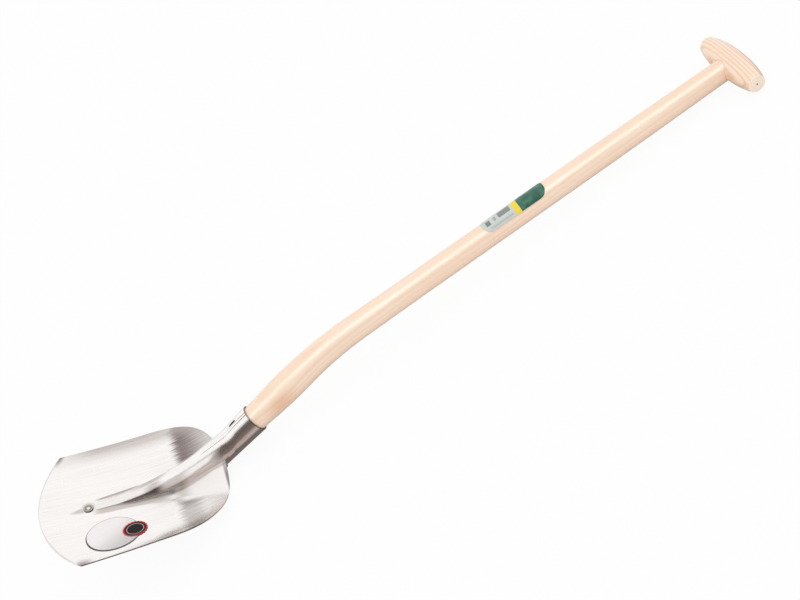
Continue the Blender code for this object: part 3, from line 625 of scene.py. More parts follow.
def make_shaft():
    end = GRIP_AXIS + TENON_PAST_AXIS
    places = [SHAFT_TOP * step / SHAFT_RINGS for step in range(SHAFT_RINGS + 1)]
    places = [-SHAFT_IN_SOCKET, -0.001] + places
    stations = [(-SHAFT_IN_SOCKET, 0.0)] + [(place, shaft_radius(place)) for place in places]
    stations += [(SHAFT_TOP, TENON_RADIUS), (end, TENON_RADIUS), (end, 0.0)]
    shaft = grid_object("shaft_wood", [shaft_ring(*station) for station in stations], closed=True)
    shaft.data.set_sharp_from_angle(angle=radians(50))
    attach(shaft, "root")
    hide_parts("shaft")
    return shaft


# Turned pieces

def frame_matrix(origin, z_axis, x_axis):
    """Placement whose local Z runs along z_axis and whose local X lies as near x_axis as it can."""
    z = Vector(z_axis).normalized()
    y = z.cross(Vector(x_axis)).normalized()
    return Matrix.Translation(origin) @ Matrix((y.cross(z), y, z)).transposed().to_4x4()


def turned_object(name, placement, profile, sides):
    """Turns (radius, height) round local Z. Its lay is the place in the piece's own axes."""
    rows = []
    for radius, height in profile:
        ring = [Vector((radius * cos(turn), radius * sin(turn), height)) for turn in turns(sides)]
        rows.append([(placement @ point, point) for point in ring])
    return grid_object(name, rows, closed=True)


def grip_radius(y):
    reach = GRIP_LENGTH / 2 / sqrt(1 - (GRIP_END_RADIUS / GRIP_RADIUS) ** 2)
    return GRIP_RADIUS * sqrt(1 - (y / reach) ** 2)


def make_grip():
    """A barrel turned round its own axis, with the lathe's centre marks in its ends."""
    half = GRIP_LENGTH / 2
    body = [(half - GRIP_END_ROUND) * cos(pi * step / 60) for step in range(61)]
    end = [(0, half - CENTRE_MARK), (CENTRE_MARK * 0.4, half - CENTRE_MARK * 0.6), (CENTRE_MARK, half)]
    for step in range(6):
        angle = radians(90 - 15 * step)
        radius = grip_radius(half - GRIP_END_ROUND) - GRIP_END_ROUND * (1 - cos(angle))
        end.append((radius, half - GRIP_END_ROUND * (1 - sin(angle))))
    profile = end + [(grip_radius(y), y) for y in body] + [(radius, -y) for radius, y in reversed(end)]
    axis = shaft_point(GRIP_AXIS)
    grip = turned_object("grip_wood", frame_matrix(axis, ACROSS, SHAFT_DIRECTION), profile, 96)
    seat = frame_matrix(axis, SHAFT_DIRECTION, ACROSS)
    back = -front_of(SHAFT_PITCH)
    nail = frame_matrix(axis + back * (GRIP_RADIUS - NAIL_RECESS), back, ACROSS)
    for placement, radius, low, high in (
            (seat, TOP_RADIUS, -GRIP_RADIUS - 0.01, -SHOULDER_FROM_AXIS + GAP),
            (seat, TENON_RADIUS, -GRIP_RADIUS, TENON_PAST_AXIS + GAP),
            (nail, NAIL_HEAD_RADIUS, -0.0015, 0.01)):
        rod = [(0, low), (radius + GAP, low), (radius + GAP, high), (0, high)]
        cut_away(grip, turned_object("rod_cut", placement, rod, 72))
    grip.data.set_sharp_from_angle(angle=radians(40))
    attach(grip, "root")
    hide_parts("grip")
    return grip


def make_rivet():
    """A set head with a dished top, its shank and its tail behind the strap."""
    low, high, rim = GAP, GAP + RIVET_HEAD_HEIGHT, RIVET_HEAD_RADIUS
    under = floor_height(RIVET_X) - SHEET_UPRIGHT - STRAP_THICKNESS - 2 * (GAP + HAIR) - SEAT_HEIGHT
    dish = [(rim * 0.80 * share, high - RIVET_DISH * (1 - smooth_step(share)))
            for share in (step / 12 for step in range(13))]
    outer = [(rim * 0.86, high + 0.00002), (rim * 0.92, high - 0.00015), (rim * 0.97, high - 0.0004),
             (rim, low + 0.0005), (rim, low), (RIVET_SHANK_RADIUS, low), (RIVET_SHANK_RADIUS, under)]
    tail = [(RIVET_TAIL_RADIUS * cos(angle), under - RIVET_TAIL_HEIGHT * sin(angle))
            for angle in (radians(turn) for turn in range(0, 91, 10))]
    seat = Matrix.Translation((RIVET_X, 0, SEAT_HEIGHT))
    rivet = turned_object("rivet", seat, dish + outer + tail, 64)
    rivet.data.set_sharp_from_angle(angle=radians(60))
    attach(rivet, "root")
    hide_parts("strap_rivet")
    return rivet


BEAD_RINGS, BEAD_SIDES, RIPPLES, RIPPLE = 64, 20, 9, 0.10


def weld_point(angle):
    off = WELD_LINE_RADIUS + GAP
    reach = NECK_RADIUS + off + 2 * HAIR
    s = (off + reach * sin(SOCKET_PITCH) * cos(angle)) / cos(SOCKET_PITCH)
    return socket_point(s, angle, reach)


def make_weld(name, side):
    """A rippled bead round the corner between the socket and the pan's back rim."""
    rows = []
    for step in range(BEAD_RINGS + 1):
        share = step / BEAD_RINGS
        angle = mix(WELD_FROM, WELD_TO, share)
        centre = weld_point(angle)
        ahead = (weld_point(angle + 0.01) - weld_point(angle - 0.01)).normalized()
        out = (centre - socket_point(0, 0, 0)).cross(ahead).normalized()
        up = ahead.cross(out)
        ends = sqrt(max(1 - abs(2 * share - 1) ** 2.6, 0.0))
        radius = WELD_RADIUS * (1 + RIPPLE * abs(sin(share * RIPPLES * pi))) * ends
        rows.append([(on_side(centre + (out * cos(turn) + up * sin(turn)) * radius, side),
                      (share, turn / (2 * pi), 0)) for turn in turns(BEAD_SIDES)])
    bead = grid_object("bead", rows, closed=True)
    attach(bead, "root")
    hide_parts(name)
    return bead


# Labels

LABEL_ROWS, LABEL_COLUMNS, OVAL_RINGS, OVAL_SIDES = 60, 30, 16, 120


def skin_object(name, rows, node, closed=False):
    """A thin printed or clear skin, its outer side up."""
    item = grid_object(name, rows, closed)
    if closed and sum(face.normal.z * face.area for face in item.data.polygons) < 0:
        item.data.flip_normals()
    shell = item.modifiers.new("film", "SOLIDIFY")
    shell.thickness = SKIN
    shell.offset = -1
    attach(item, "root")
    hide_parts(node)
    return item


def make_shaft_label():
    """lay: share along from the blade's end, share across."""
    front = front_of(SHAFT_PITCH)
    rows = []
    for i in range(LABEL_ROWS + 1):
        u = LABEL_LENGTH / 2 * sin((i / LABEL_ROWS - 0.5) * pi) * 0.9999
        inset = max(abs(u) - (LABEL_LENGTH / 2 - LABEL_CORNER), 0)
        half = LABEL_WIDTH / 2 - LABEL_CORNER + sqrt(max(LABEL_CORNER ** 2 - inset ** 2, 0))
        radius = shaft_radius(LABEL_MIDDLE + u) + GAP + SKIN
        row = []
        for across in ((j / LABEL_COLUMNS * 2 - 1) * half for j in range(LABEL_COLUMNS + 1)):
            out = front * cos(across / radius) + ACROSS * sin(across / radius)
            row.append((shaft_point(LABEL_MIDDLE + u) + out * radius,
                        (u / LABEL_LENGTH + 0.5, across / LABEL_WIDTH, 0)))
        rows.append(row)
    return skin_object("shaft_print", rows, "shaft_label")


def front_place(x, y):
    """Shares along and across the pan of a point in front of its shoulders."""
    along = 0.5
    for _ in range(8):
        across = abs(y) / side_half_width(along)
        start = edge_x(across * CORNER_WIDTH / 2)
        along = (x - start) / (SHOULDER_START - start)
    return along, across


FILM_ALONG = (FILM_CENTRE_X + EDGE_BOW) / (SHOULDER_START + EDGE_BOW)
FILM_CENTRE = (FILM_CENTRE_X, FILM_FROM_SIDE + FILM_HALF[1] - side_half_width(FILM_ALONG))
TAG_CENTRE = (FILM_CENTRE[0] + TAG_FROM_FILM[0], FILM_CENTRE[1] + TAG_FROM_FILM[1])


def make_oval(name, node, centre, half, lift, lobes=0):
    """An oval skin on the pan's top. lay: places along and across, share of the way out."""
    rows = []
    for ring in range(OVAL_RINGS + 1):
        share = sin(ring / OVAL_RINGS * pi / 2)
        row = []
        for turn in turns(OVAL_SIDES):
            wave = 1 + TAG_LOBE * cos(lobes * turn) * share ** 6 if lobes else 1.0
            u, v = share * cos(turn), share * sin(turn)
            x, y = centre[0] + half[0] * u * wave, centre[1] + half[1] * v * wave
            along, across = front_place(x, y)
            middle_x = mix(-EDGE_BOW, SHOULDER_START, along)
            row.append((Vector((x, y, pan_height(x, middle_x, across) + lift)), (u, v, share)))
        rows.append(row)
    return skin_object(name, rows, node, closed=True)


# Materials. Numbers beside u, v and s are places in metres. Those beside foot are places on the
# ridge's section: 0 on the crest, 1 at its foot, then steps of FOOT_UNIT, minus on the near side.

def math_node(operation, swapped=False):
    """A method of Value that adds a math node."""
    def method(self, other=0.0):
        inputs = {0: other, 1: self} if swapped else {0: self, 1: other}
        return self.build.out("ShaderNodeMath", 0, inputs, operation=operation)
    return method


class Value:
    """A number, colour or vector in a node tree. Arithmetic on it adds nodes."""

    def __init__(self, build, socket):
        self.build, self.socket = build, socket

    __add__ = math_node("ADD")
    __sub__ = math_node("SUBTRACT")
    __rsub__ = math_node("SUBTRACT", swapped=True)
    __mul__ = math_node("MULTIPLY")
    __truediv__ = math_node("DIVIDE")
    __abs__ = math_node("ABSOLUTE")
    fraction = math_node("FRACT")
    most = math_node("MAXIMUM")

    def __neg__(self):
        return self * -1

    def map(self, low, high, to_low, to_high, kind="SMOOTHSTEP"):
        """Maps low..high onto to_low..to_high, and holds the ends."""
        ends = {1: low, 2: high, 3: to_low, 4: to_high}
        return self.build.out("ShaderNodeMapRange", 0, {0: self, **ends}, interpolation_type=kind)

    def rise(self, low, high, top=1.0):
        return self.map(low, high, 0.0, top)

    def fall(self, low, high, top=1.0):
        return self.map(low, high, top, 0.0)

    def within(self, low, high, soft):
        return self.rise(low - soft, low + soft) * self.fall(high - soft, high + soft)


class Nodes:
    """Short names for building a node tree."""

    def __init__(self, tree):
        self.tree = tree
        tree.nodes.clear()

    def add(self, kind, inputs, **settings):
        node = self.tree.nodes.new(kind)
        for name, value in settings.items():
            setattr(node, name, value)
        for name, value in inputs.items():
            if isinstance(value, Value):
                self.tree.links.new(value.socket, node.inputs[name])
            else:
                node.inputs[name].default_value = value
        return node

    def out(self, kind, output, inputs=None, **settings):
        return Value(self, self.add(kind, inputs or {}, **settings).outputs[output])

    def own(self, name):
        """A vector that the mesh carries on its points."""
        return self.out("ShaderNodeAttribute", "Vector", attribute_name=name)

    def place(self):
        return self.out("ShaderNodeTexCoord", "Object")

    def split(self, vector):
        node = self.add("ShaderNodeSeparateXYZ", {0: vector})
        return [Value(self, socket) for socket in node.outputs]

    def join(self, x, y, z):
        return self.out("ShaderNodeCombineXYZ", 0, {0: x, 1: y, 2: z})

    def length(self, x, y, z=0.0):
        return self.out("ShaderNodeVectorMath", "Value", {0: self.join(x, y, z)}, operation="LENGTH")

    def noise(self, vector, scale, detail=3.0):
        placed = self.out("ShaderNodeMapping", 0, {"Vector": vector, "Scale": scale})
        return self.out("ShaderNodeTexNoise", 0, {"Vector": placed, "Scale": 1.0, "Detail": detail})

    def ramp(self, value, stops):
        node = self.add("ShaderNodeValToRGB", {0: value})
        elements = node.color_ramp.elements
        while len(elements) < len(stops):
            elements.new(0.5)
        for element, (place, colour) in zip(elements, stops):
            element.position = place
            element.color = (*colour, 1)
        return Value(self, node.outputs[0])

    def mix(self, share, a, b):
        colours = [colour if isinstance(colour, Value) else (*colour, 1) for colour in (a, b)]
        return self.out("ShaderNodeMix", 2, {0: share, 6: colours[0], 7: colours[1]}, data_type="RGBA")

    def layers(self, colour, over):
        """Lays (share, colour) pairs over a colour, one after the other."""
        for share, upper in over:
            colour = self.mix(share, colour, upper)
        return colour

    def surface(self, colour, roughness, height, depth, strength, metallic=0.0, **more):
        bump = {"Height": height, "Distance": depth, "Strength": strength}
        more |= {"Base Color": colour, "Roughness": roughness, "Metallic": metallic,
                 "Normal": self.out("ShaderNodeBump", 0, bump)}
        shader = self.out("ShaderNodeBsdfPrincipled", 0, more)
        self.add("ShaderNodeOutputMaterial", {"Surface": shader})


def paint(name, recipe, *items):
    material = bpy.data.materials.new(name)
    material.use_nodes = True
    recipe(Nodes(material.node_tree))
    for item in items:
        item.data.materials.clear()
        item.data.materials.append(material)


STEEL_TONES = [(0.32, (0.86, 0.825, 0.80)), (0.48, (0.945, 0.92, 0.90)), (0.66, (0.975, 0.955, 0.94))]
FIXING_TONES = [(0.35, (0.66, 0.62, 0.60)), (0.65, (0.86, 0.83, 0.81))]
# by radius from the rivet's middle; the dark ring and the outer wall are painted shade
RIVET_SHADE_TONES = [(0.26, (0.90, 0.88, 0.84)), (0.42, (0.34, 0.295, 0.235)), (0.66, (0.28, 0.245, 0.20)),
               (0.78, (0.56, 0.52, 0.46)), (0.90, (0.46, 0.43, 0.38)), (0.98, (0.16, 0.145, 0.125))]
# the seam's brown, also used for the painted shadow line by the neck
GROOVE_AND_SHADE_BROWN = (0.20, 0.165, 0.15)


def steel_lines(build, lay):
    """Fine and medium grinding lines, long along the lay and short across it."""
    return build.noise(lay, (16, 1900, 1), 2.0), build.noise(lay, (10, 420, 1))


def pan_material(build):
    """Ground steel with bands, a darker crest patch, dull patches and painted shade round the ridge,
    rivet, rims and neck.
    """
    lay = build.own("lay")
    u, v, _ = build.split(lay)
    groove, foot, side = build.split(build.own("marks"))
    fine, medium = steel_lines(build, lay)
    broad = build.noise(lay, (7, 30, 1), 2.0)
    tone = fine * 0.4 + medium * 0.6 + (broad - 0.5) * 0.2
    curl = side.rise(0.74, 1.0) * medium.map(0.3, 0.6, 0.55, 0.85) * u.map(0.0, 0.060, 0.40, 1.0)
    dull_shade, flank_shade_colour = dull_shaded_flank(build, u, foot, lay)
    front, front_shade_colour = dull_shaded_front(build, u, foot)
    # painted shadow line along the near back rim by the neck
    neck_shade = u.rise(0.2255, 0.2285) * foot.rise(-2.4, -1.0) * foot.fall(-0.8, -0.4, 0.85)
    colour = build.layers(build.ramp(tone, STEEL_TONES), [
        (heel_band(u, v, foot, medium, fine), (0.185, 0.132, 0.126)),
        (curl, (0.50, 0.44, 0.41)),
        (far_flank_shade(u, foot), (0.42, 0.36, 0.335)),
        (crest_patch_and_shade(u, foot, side, medium), (0.25, 0.20, 0.18)),
        (nose_shade(build, u, v), (0.42, 0.365, 0.32)),
        (groove.rise(0.3, 0.9), GROOVE_AND_SHADE_BROWN),
        (dull_shade, flank_shade_colour),
        (front, front_shade_colour),
        (neck_shade, GROOVE_AND_SHADE_BROWN)])
    dull_shade = dull_shade.most(front)
    build.surface(colour, medium.map(0.3, 0.7, 0.30, 0.22) + dull_shade * 0.25, tone, 0.000016, 0.5,
                  metallic=1.0 - dull_shade)


def heel_band(u, v, foot, medium, fine):
    """A darker band across the heel, streaked along the lines."""
    place = u + (medium - 0.5) * 0.030 + v.fall(-0.03, -0.01, 0.014)
    far = v.rise(-0.02, 0.02)
    side = far.most(v.map(-0.060, -0.034, 0.50, 0.88)) * far.most(place.map(0.190, 0.208, 1.0, 0.45))
    clear = foot.rise(0.02, 0.12).most(foot.fall(-1.40, -1.0))
    band = place.rise(0.160, 0.176) * place.map(0.178, 0.226, 1.0, 0.42) * side * clear
    return band * fine.map(0.35, 0.62, 0.75, 1.0)


def far_flank_shade(u, foot):
    """Painted shade on the ridge's far side: a thin line along its foot, then the flank by the crest.
    """
    line = foot.rise(0.66, 0.80) * foot.fall(0.94, 1.06) * u.rise(0.034, 0.048) * u.fall(0.090, 0.120)
    flank = foot.rise(-0.03, 0.06) * foot.fall(0.6, 0.9) * u.rise(0.082, 0.112) * u.fall(0.130, 0.155)
    return (flank * 0.55).most(line * 0.85)


def crest_patch_and_shade(u, foot, side, medium):
    """A darker patch on the crest, and painted shade under the neck, at the front corners and along
    the rims.
    """
    crest = u.rise(0.102, 0.123) * u.fall(0.124, 0.142) * medium.map(0.30, 0.65, 0.32, 0.60)
    crest = crest * foot.rise(-0.60, -0.40) * foot.map(-0.10, 0.02, 1.0, 0.35) * foot.fall(0.85, 1.0)
    crease = foot.within(-0.515, -0.455, 0.02) * u.rise(0.206, 0.222) * 0.55
    from_edge = u + (1.0 - side * side) * EDGE_BOW
    near_corner = side.fall(-0.99, -0.86) * u.rise(-0.008, 0.000) * u.fall(0.004, 0.024)
    far_corner = side.rise(0.84, 0.97) * from_edge.fall(0.004, 0.011)
    edge = from_edge.fall(0.0006, 0.0014, 0.26)
    back_rim = u.rise(0.220, 0.2315) * abs(foot).rise(1.0, 1.5, 0.22)
    return crest.most(crease).most(near_corner.most(far_corner) * 0.75).most(edge).most(back_rim)


def nose_shade(build, u, v):
    """A drop-shaped shade in front of the rivet and a ring of it round the head."""
    along = u.rise(-0.006, 0.012) * u.map(0.017, 0.022, 1.0, 0.2)
    away = abs(v + 0.0012) / u.map(-0.006, 0.020, 0.0014, 0.0092, "LINEAR")
    ring = build.length(u - RIVET_X, v - 0.002).fall(0.0076, 0.0125, 0.45)
    return (along * away.fall(0.1, 1.0) * 0.62).most(ring)


def dull_shaded_flank(build, u, foot, lay):
    """Dull, not metallic, on the ridge's near flank towards the neck, coloured with painted shade:
    share and colour.
    """
    down = -foot
    lowness = down.rise(0.36, 0.62)
    along = u.rise(0.124, 0.148) * (1.0 - lowness) + u.rise(0.144, 0.166) * lowness
    neck = u.fall(0.206, 0.231).most(down.rise(0.42, 0.52))
    share = down.rise(0.17, 0.26) * down.fall(1.5, 2.4) * along * neck
    top = u.map(0.160, 0.204, 0.42, 0.34, "LINEAR") - u.rise(0.206, 0.222, 0.09)
    bottom = u.map(0.158, 0.212, 0.75, 0.61, "LINEAR")
    streak = build.noise(lay, (16, 330, 1)).map(0.33, 0.62, 0.60, 1.0)
    # painted shade: a brown band along the flank
    brown = (down - top).rise(-0.04, 0.03) * (down - bottom).fall(-0.03, 0.03) * streak
    brown_colour = build.mix(u.rise(0.158, 0.180), (0.25, 0.205, 0.18), (0.55, 0.455, 0.405))
    below = u.fall(0.160, 0.182) * down.fall(0.9, 1.3)
    pale = build.mix(below, (0.97, 0.95, 0.935), (0.70, 0.635, 0.60))
    return share, build.mix(brown, pale, brown_colour)


def dull_shaded_front(build, u, foot):
    """The same in front, along the near foot beside the nose, also coloured with painted shade: share
    and colour.
    """
    down = -foot
    past = down - u.map(0.060, 0.095, 0.42, 0.63)
    across = past.rise(-0.07, 0.04) * down.fall(0.88, 1.08)
    share = across * u.rise(0.028, 0.044) * u.fall(0.126, 0.156) * 0.84
    deep = u.map(0.030, 0.095, 0.45, 1.0) * past.fall(0.05, 0.20)
    return share, build.mix(deep, (0.60, 0.52, 0.475), (0.235, 0.19, 0.17))


def tube_material(build):
    """With painted shade along its far side, beside the seam, on the slot walls and on the lip."""
    lay = build.own("lay")
    s, v, _ = build.split(lay)
    groove, uncut, _ = build.split(build.own("marks"))
    fine, medium = steel_lines(build, lay)
    tone = fine * 0.35 + medium * 0.65
    beside = -v / s.map(0.03, SOCKET_LENGTH, 0.0008, 0.0036, "LINEAR")
    lip = s.rise(SOCKET_LENGTH - 0.0016, SOCKET_LENGTH - 0.0006, 0.8)
    colour = build.layers(build.ramp(tone, STEEL_TONES), [
        # painted shade along the far side and beside the seam; then the seam, and painted shade in the
        # slot and at the lip
        (v.rise(0.0096, 0.0124) * medium.map(0.35, 0.60, 0.75, 0.95), (0.30, 0.262, 0.245)),
        (beside.rise(0.0, 0.35) * beside.fall(0.55, 1.0, 0.62), (0.27, 0.212, 0.197)),
        (groove.rise(0.2, 0.7), (0.13, 0.11, 0.10)),
        (uncut.fall(0.3, 0.9), (0.07, 0.058, 0.05)),
        (lip, (0.20, 0.175, 0.16))])
    build.surface(colour, medium.map(0.3, 0.7, 0.26, 0.18), tone, 0.00004, 0.4, metallic=1.0)


def fixing_material(build):
    """For the fixings and the strap: ground along the blade, in the object's own place."""
    turn = (0, -REST_PITCH, 0)
    place = build.out("ShaderNodeMapping", 0, {"Vector": build.place(), "Rotation": turn})
    tone = build.noise(place, (20, 1200, 1200), 2.0) * 0.5 + build.noise(place, (20, 90, 90)) * 0.5
    build.surface(build.ramp(tone, FIXING_TONES), tone.map(0.3, 0.7, 0.36, 0.24), tone, 0.00005, 0.5,
                  metallic=1.0)


def rivet_material(build):
    """Shading painted by radius: a bright dish, a dark ring of painted shade round it, a bright rim
    and a dark outer wall.
    """
    lay = build.own("lay")
    x, y, _ = build.split(lay)
    grain = build.noise(lay, (700, 700, 300))
    out = build.length(x, y) / RIVET_HEAD_RADIUS + (grain - 0.5) * 0.12
    build.surface(build.ramp(out, RIVET_SHADE_TONES), grain.map(0.3, 0.7, 0.38, 0.28), grain, 0.00006, 0.5,
                  metallic=1.0)


def bead_material(build):
    """Weld metal, darkened brown as painted shade in the corner by the neck."""
    grain = build.noise(build.place(), (700, 700, 700))
    # two browns of painted shade, mixed in patches
    neck_shade = build.noise(build.own("lay"), (9, 2, 1), 2.0)
    colour = build.mix(neck_shade.rise(0.35, 0.65), (0.52, 0.455, 0.41), (0.38, 0.33, 0.30))
    colour = build.mix(grain.rise(0.55, 0.8, 0.6), colour, (0.55, 0.52, 0.49))
    build.surface(colour, grain.map(0.3, 0.7, 0.55, 0.40), grain, 0.00015, 0.6, metallic=0.15)


ASH_TONES = [(0.36, (0.96, 0.715, 0.54)), (0.50, (0.968, 0.745, 0.576)), (0.64, (0.98, 0.79, 0.63))]
ASH_LINE = (0.84, 0.52, 0.33)
ASH_END = (0.98, 0.81, 0.67)
RING_SPACING = 0.0052
SHAFT_HEART = (0.014, -0.062)
GRIP_HEART = (-0.038, -0.016)


def ash_colour(build, lay, heart, contrast):
    """Lay is straight along the piece, heart the middle of its growth rings: colour and pores."""
    _, a, b = build.split(lay)
    warp = build.noise(lay, (3, 28, 28), 2.0)
    grain = build.noise(lay, (2.2, 95, 95), 4.0)
    pores = build.noise(lay, (22, 900, 900), 2.0)
    broad = build.noise(lay, (6, 22, 22), 2.0)
    reach = build.length(0.0, a - heart[0], b - heart[1])
    phase = (reach / RING_SPACING + warp * 1.6).fraction()
    line = phase.rise(0.0, 0.10) * phase.fall(0.12, 0.62)
    line = line * broad.map(0.35, 0.65, contrast * 0.35, contrast)
    colour = build.layers(build.ramp(grain * 0.55 + broad * 0.45, ASH_TONES),
                          [(line, ASH_LINE), (pores.rise(0.52, 0.75, 0.22), ASH_LINE)])
    return colour, pores


def ash_surface(build, colour, pores):
    build.surface(colour, pores.map(0.4, 0.7, 0.42, 0.50), pores, 0.00005, 0.3,
                  **{"Coat Weight": 0.8, "Coat Roughness": 0.22})


def shaft_material(build):
    """With the warmer patch a little past the socket, on the near side."""
    lay = build.own("lay")
    along, y, z = build.split(lay)
    colour, pores = ash_colour(build, lay, SHAFT_HEART, 0.34)
    away = build.length((along - 0.052) * 0.42, y + 0.019, z - 0.002)
    ash_surface(build, build.mix(away.fall(0.002, 0.017, 0.75), colour, (0.84, 0.49, 0.30)), pores)


def grip_material(build):
    """With paler ends, and a dark mark in the middle of each."""
    a, b, along = build.split(build.own("lay"))
    colour, pores = ash_colour(build, build.join(along, a, b), GRIP_HEART, 0.85)
    end, tip = abs(along), GRIP_LENGTH / 2
    mark = build.length(a, b).fall(CENTRE_MARK * 0.7, CENTRE_MARK * 1.2)
    colour = build.layers(colour, [(end.rise(tip - 0.0016, tip - 0.0004), ASH_END),
                                   (end.rise(tip - 0.010, tip - 0.004) * mark, (0.16, 0.08, 0.04))])
    ash_surface(build, colour, pores)


# Plain blocks on the label: range along, range across, colour
GREY_BLOCKS = [((0.06, 0.13), (-0.20, 0.08), (0.22, 0.24, 0.235)),
               ((0.185, 0.225), (-0.14, 0.08), (0.40, 0.42, 0.41)),
               ((0.265, 0.455), (-0.14, 0.20), (0.26, 0.28, 0.27)),
               ((0.10, 0.46), (-0.40, -0.30), (0.50, 0.54, 0.51))]
YELLOW_BAND = (0.493, 0.575)
GREEN_FROM = 0.575


def label_material(build):
    """A green panel towards the grip, a yellow band and a pale grey panel with plain blocks."""
    lay = build.own("lay")
    u, v, _ = build.split(lay)
    cloud = build.noise(lay, (9, 3, 1))
    grain = build.noise(build.place(), (900, 900, 900), 2.0)
    green = build.mix(cloud.rise(0.42, 0.70, 0.7), (0.022, 0.125, 0.085), (0.085, 0.24, 0.17))
    colour = build.mix(cloud.rise(0.3, 0.7, 0.3), (0.60, 0.65, 0.615), (0.70, 0.74, 0.71))
    layers = [(u.within(*along, 0.003) * v.within(*across, 0.008), block)
              for along, across, block in GREY_BLOCKS]
    layers += [(u.within(*YELLOW_BAND, 0.003), (0.93, 0.70, 0.04)),
               (u.rise(GREEN_FROM - 0.003, GREEN_FROM + 0.003), green)]
    colour = build.layers(colour, layers)
    build.surface(colour, grain.map(0.3, 0.7, 0.34, 0.42), grain, 0.00003, 0.3)


def film_material(build):
    """Clear film: light, a little greyer towards the back, with a thin dark outline."""
    lay = build.own("lay")
    u, v, out = build.split(lay)
    speck = build.noise(lay, (6, 60, 1))
    low = u * 0.55 - v * 0.65 + (speck - 0.5) * 0.25
    heavy = (v + u * 0.35).fall(-0.75, 0.35)
    line = (out - heavy.map(0.0, 1.0, 0.972, 0.940, "LINEAR")).rise(-0.006, 0.006)
    line_colour = build.mix(heavy, (0.42, 0.30, 0.31), (0.06, 0.055, 0.055))
    colour = build.mix(low.rise(-0.4, 0.75), (0.90, 0.865, 0.86), (0.60, 0.575, 0.57))
    colour = build.mix(line * heavy.map(0.0, 0.5, 0.7, 1.0), colour, line_colour)
    build.surface(colour, speck.map(0.3, 0.7, 0.20, 0.30), speck, 0.00003, 0.2)


def tag_material(build):
    """Black oval with a red edge and a thin pale ring."""
    out = build.split(build.own("lay"))[2]
    speck = build.noise(build.place(), (1200, 1200, 1200), 2.0)
    black = build.mix(speck.rise(0.3, 0.7), (0.010, 0.009, 0.0095), (0.024, 0.021, 0.022))
    colour = build.layers(black, [(out.within(0.66, 0.72, 0.015), (0.45, 0.42, 0.42)),
                                  (out.rise(0.87, 0.90), (0.70, 0.035, 0.035))])
    build.surface(colour, speck.map(0.3, 0.7, 0.42, 0.50), speck, 0.00003, 0.3,
                  **{"Specular IOR Level": 0.12})


# Studio

WHITE = (1.0, 1.0, 1.0)
DARK_LEAN = 0.926     # how much the dark part of the studio leans down
DARK_LINE = -0.32     # where the studio turns from light to dark, from above
SHADE_TINT = (1.0, 0.74, 0.66)
SHADE_LEVELS = [(0.42, 0.34), (0.5, 0.21), (0.56, 0.165), (0.70, 0.125), (0.9, 0.095)]
FLOOR_TINT = (1.0, 0.80, 0.735)
CAMERA_SHARE = 0.93   # of the floor's plain white in the camera's view, the rest takes the shadow
STRIP_FROM = Vector((0.128, -0.272, 0.953))
STRIP_SIZE = (3.4, 0.46)
STRIP_POWER = 18.0


def add_world():
    """White for the camera. For the object, a light half beyond it and a dark part before it."""
    world = bpy.data.worlds.new("studio")
    world.use_nodes = True
    bpy.context.scene.world = world
    build = Nodes(world.node_tree)
    _, y, z = build.split(build.out("ShaderNodeTexCoord", "Generated"))
    lean = -y - z * DARK_LEAN
    shades = [(place, [level * tint for tint in SHADE_TINT]) for place, level in SHADE_LEVELS]
    shade = build.ramp(z.map(-1, 1, 0, 1, "LINEAR"), shades)
    seen = build.mix(lean.rise(DARK_LINE - 0.11, DARK_LINE + 0.11), WHITE, shade)
    soft = build.mix(lean.rise(DARK_LINE - 0.10, DARK_LINE + 0.12),
                     (1.01, 1.01, 1.01), (1.0, 0.985, 0.975))
    colour = build.mix(build.out("ShaderNodeLightPath", "Is Glossy Ray"), soft, seen)
    colour = build.mix(build.out("ShaderNodeLightPath", "Is Camera Ray"), colour, WHITE)
    background = build.out("ShaderNodeBackground", 0, {"Color": colour})
    build.add("ShaderNodeOutputWorld", {"Surface": background})


def add_strip_light(lit):
    """A long soft light overhead that only the lacquered wood mirrors."""
    lamp = bpy.data.lights.new("strip", "AREA")
    lamp.shape = "RECTANGLE"
    lamp.size, lamp.size_y = STRIP_SIZE
    lamp.energy = STRIP_POWER
    strip = new_object("strip", lamp)
    strip.matrix_world = frame_matrix(STRIP_FROM, STRIP_FROM, (1, 0, 0))
    strip.visible_camera = False
    strip.visible_diffuse = False
    strip.visible_transmission = False
    receivers = bpy.data.collections.new("lit_by_strip")
    for item in lit:
        receivers.objects.link(item)
    strip.light_linking.receiver_collection = receivers


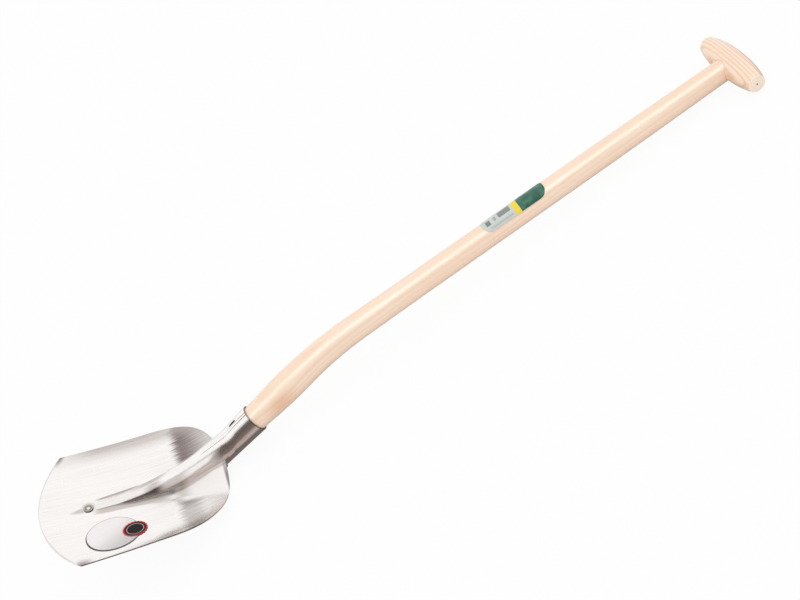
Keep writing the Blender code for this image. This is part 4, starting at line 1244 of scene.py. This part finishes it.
def floor_material(build):
    """Pale ground with the shadow. Its glow is a painted reflection in the steel: brown before the
    shovel, darker near it, white behind.
    """
    camera_ray = build.out("ShaderNodeLightPath", "Is Camera Ray")
    y = build.split(build.out("ShaderNodeNewGeometry", "Position"))[1]
    # painted shadow: the reflected glow darkens just before the shovel
    near = y.map(-0.35, -0.10, 0.15, 0.50) - y.rise(-0.058, -0.042, 0.33)
    brown = build.mix(near, (0, 0, 0), FLOOR_TINT)
    mirrored = build.mix(y.rise(-0.01, 0.16), brown, (0.95, 0.95, 0.95))
    glow = build.out("ShaderNodeEmission", 0, {"Color": build.mix(camera_ray, mirrored, WHITE)})
    diffuse = build.out("ShaderNodeBsdfDiffuse", 0, {"Color": (0.9, 0.9, 0.9, 1)})
    share = (camera_ray * CAMERA_SHARE).most(build.out("ShaderNodeLightPath", "Is Glossy Ray"))
    both = build.out("ShaderNodeMixShader", 0, {0: share, 1: diffuse, 2: glow})
    build.add("ShaderNodeOutputMaterial", {"Surface": both})


def add_floor():
    bpy.ops.mesh.primitive_plane_add(size=12)
    floor = bpy.context.object
    floor.name = "floor"
    paint("floor", floor_material, floor)


add_camera()
add_world()
add_floor()
bpy.context.scene.view_settings.view_transform = "Standard"

paint("ground_steel", pan_material, make_pan())
paint("ground_steel_tube", tube_material, make_tube())
paint("plain_steel", fixing_material, nodes["back_strap"], nodes["socket_screw"], nodes["grip_nail"])
paint("rivet_steel", rivet_material, make_rivet())
paint("weld_metal", bead_material, make_weld("neck_weld_far", 1), make_weld("neck_weld_near", -1))
shaft, grip = make_shaft(), make_grip()
paint("ash_shaft", shaft_material, shaft)
paint("ash_grip", grip_material, grip)
add_strip_light([shaft, grip])
paint("label_print", label_material, make_shaft_label())
paint("clear_film", film_material,
      make_oval("clear_oval", "blade_sticker", FILM_CENTRE, FILM_HALF, GAP + SKIN))
paint("tag_print", tag_material,
      make_oval("small_tag", "sticker_tag", TAG_CENTRE, TAG_HALF, 2 * (GAP + SKIN), TAG_LOBES))
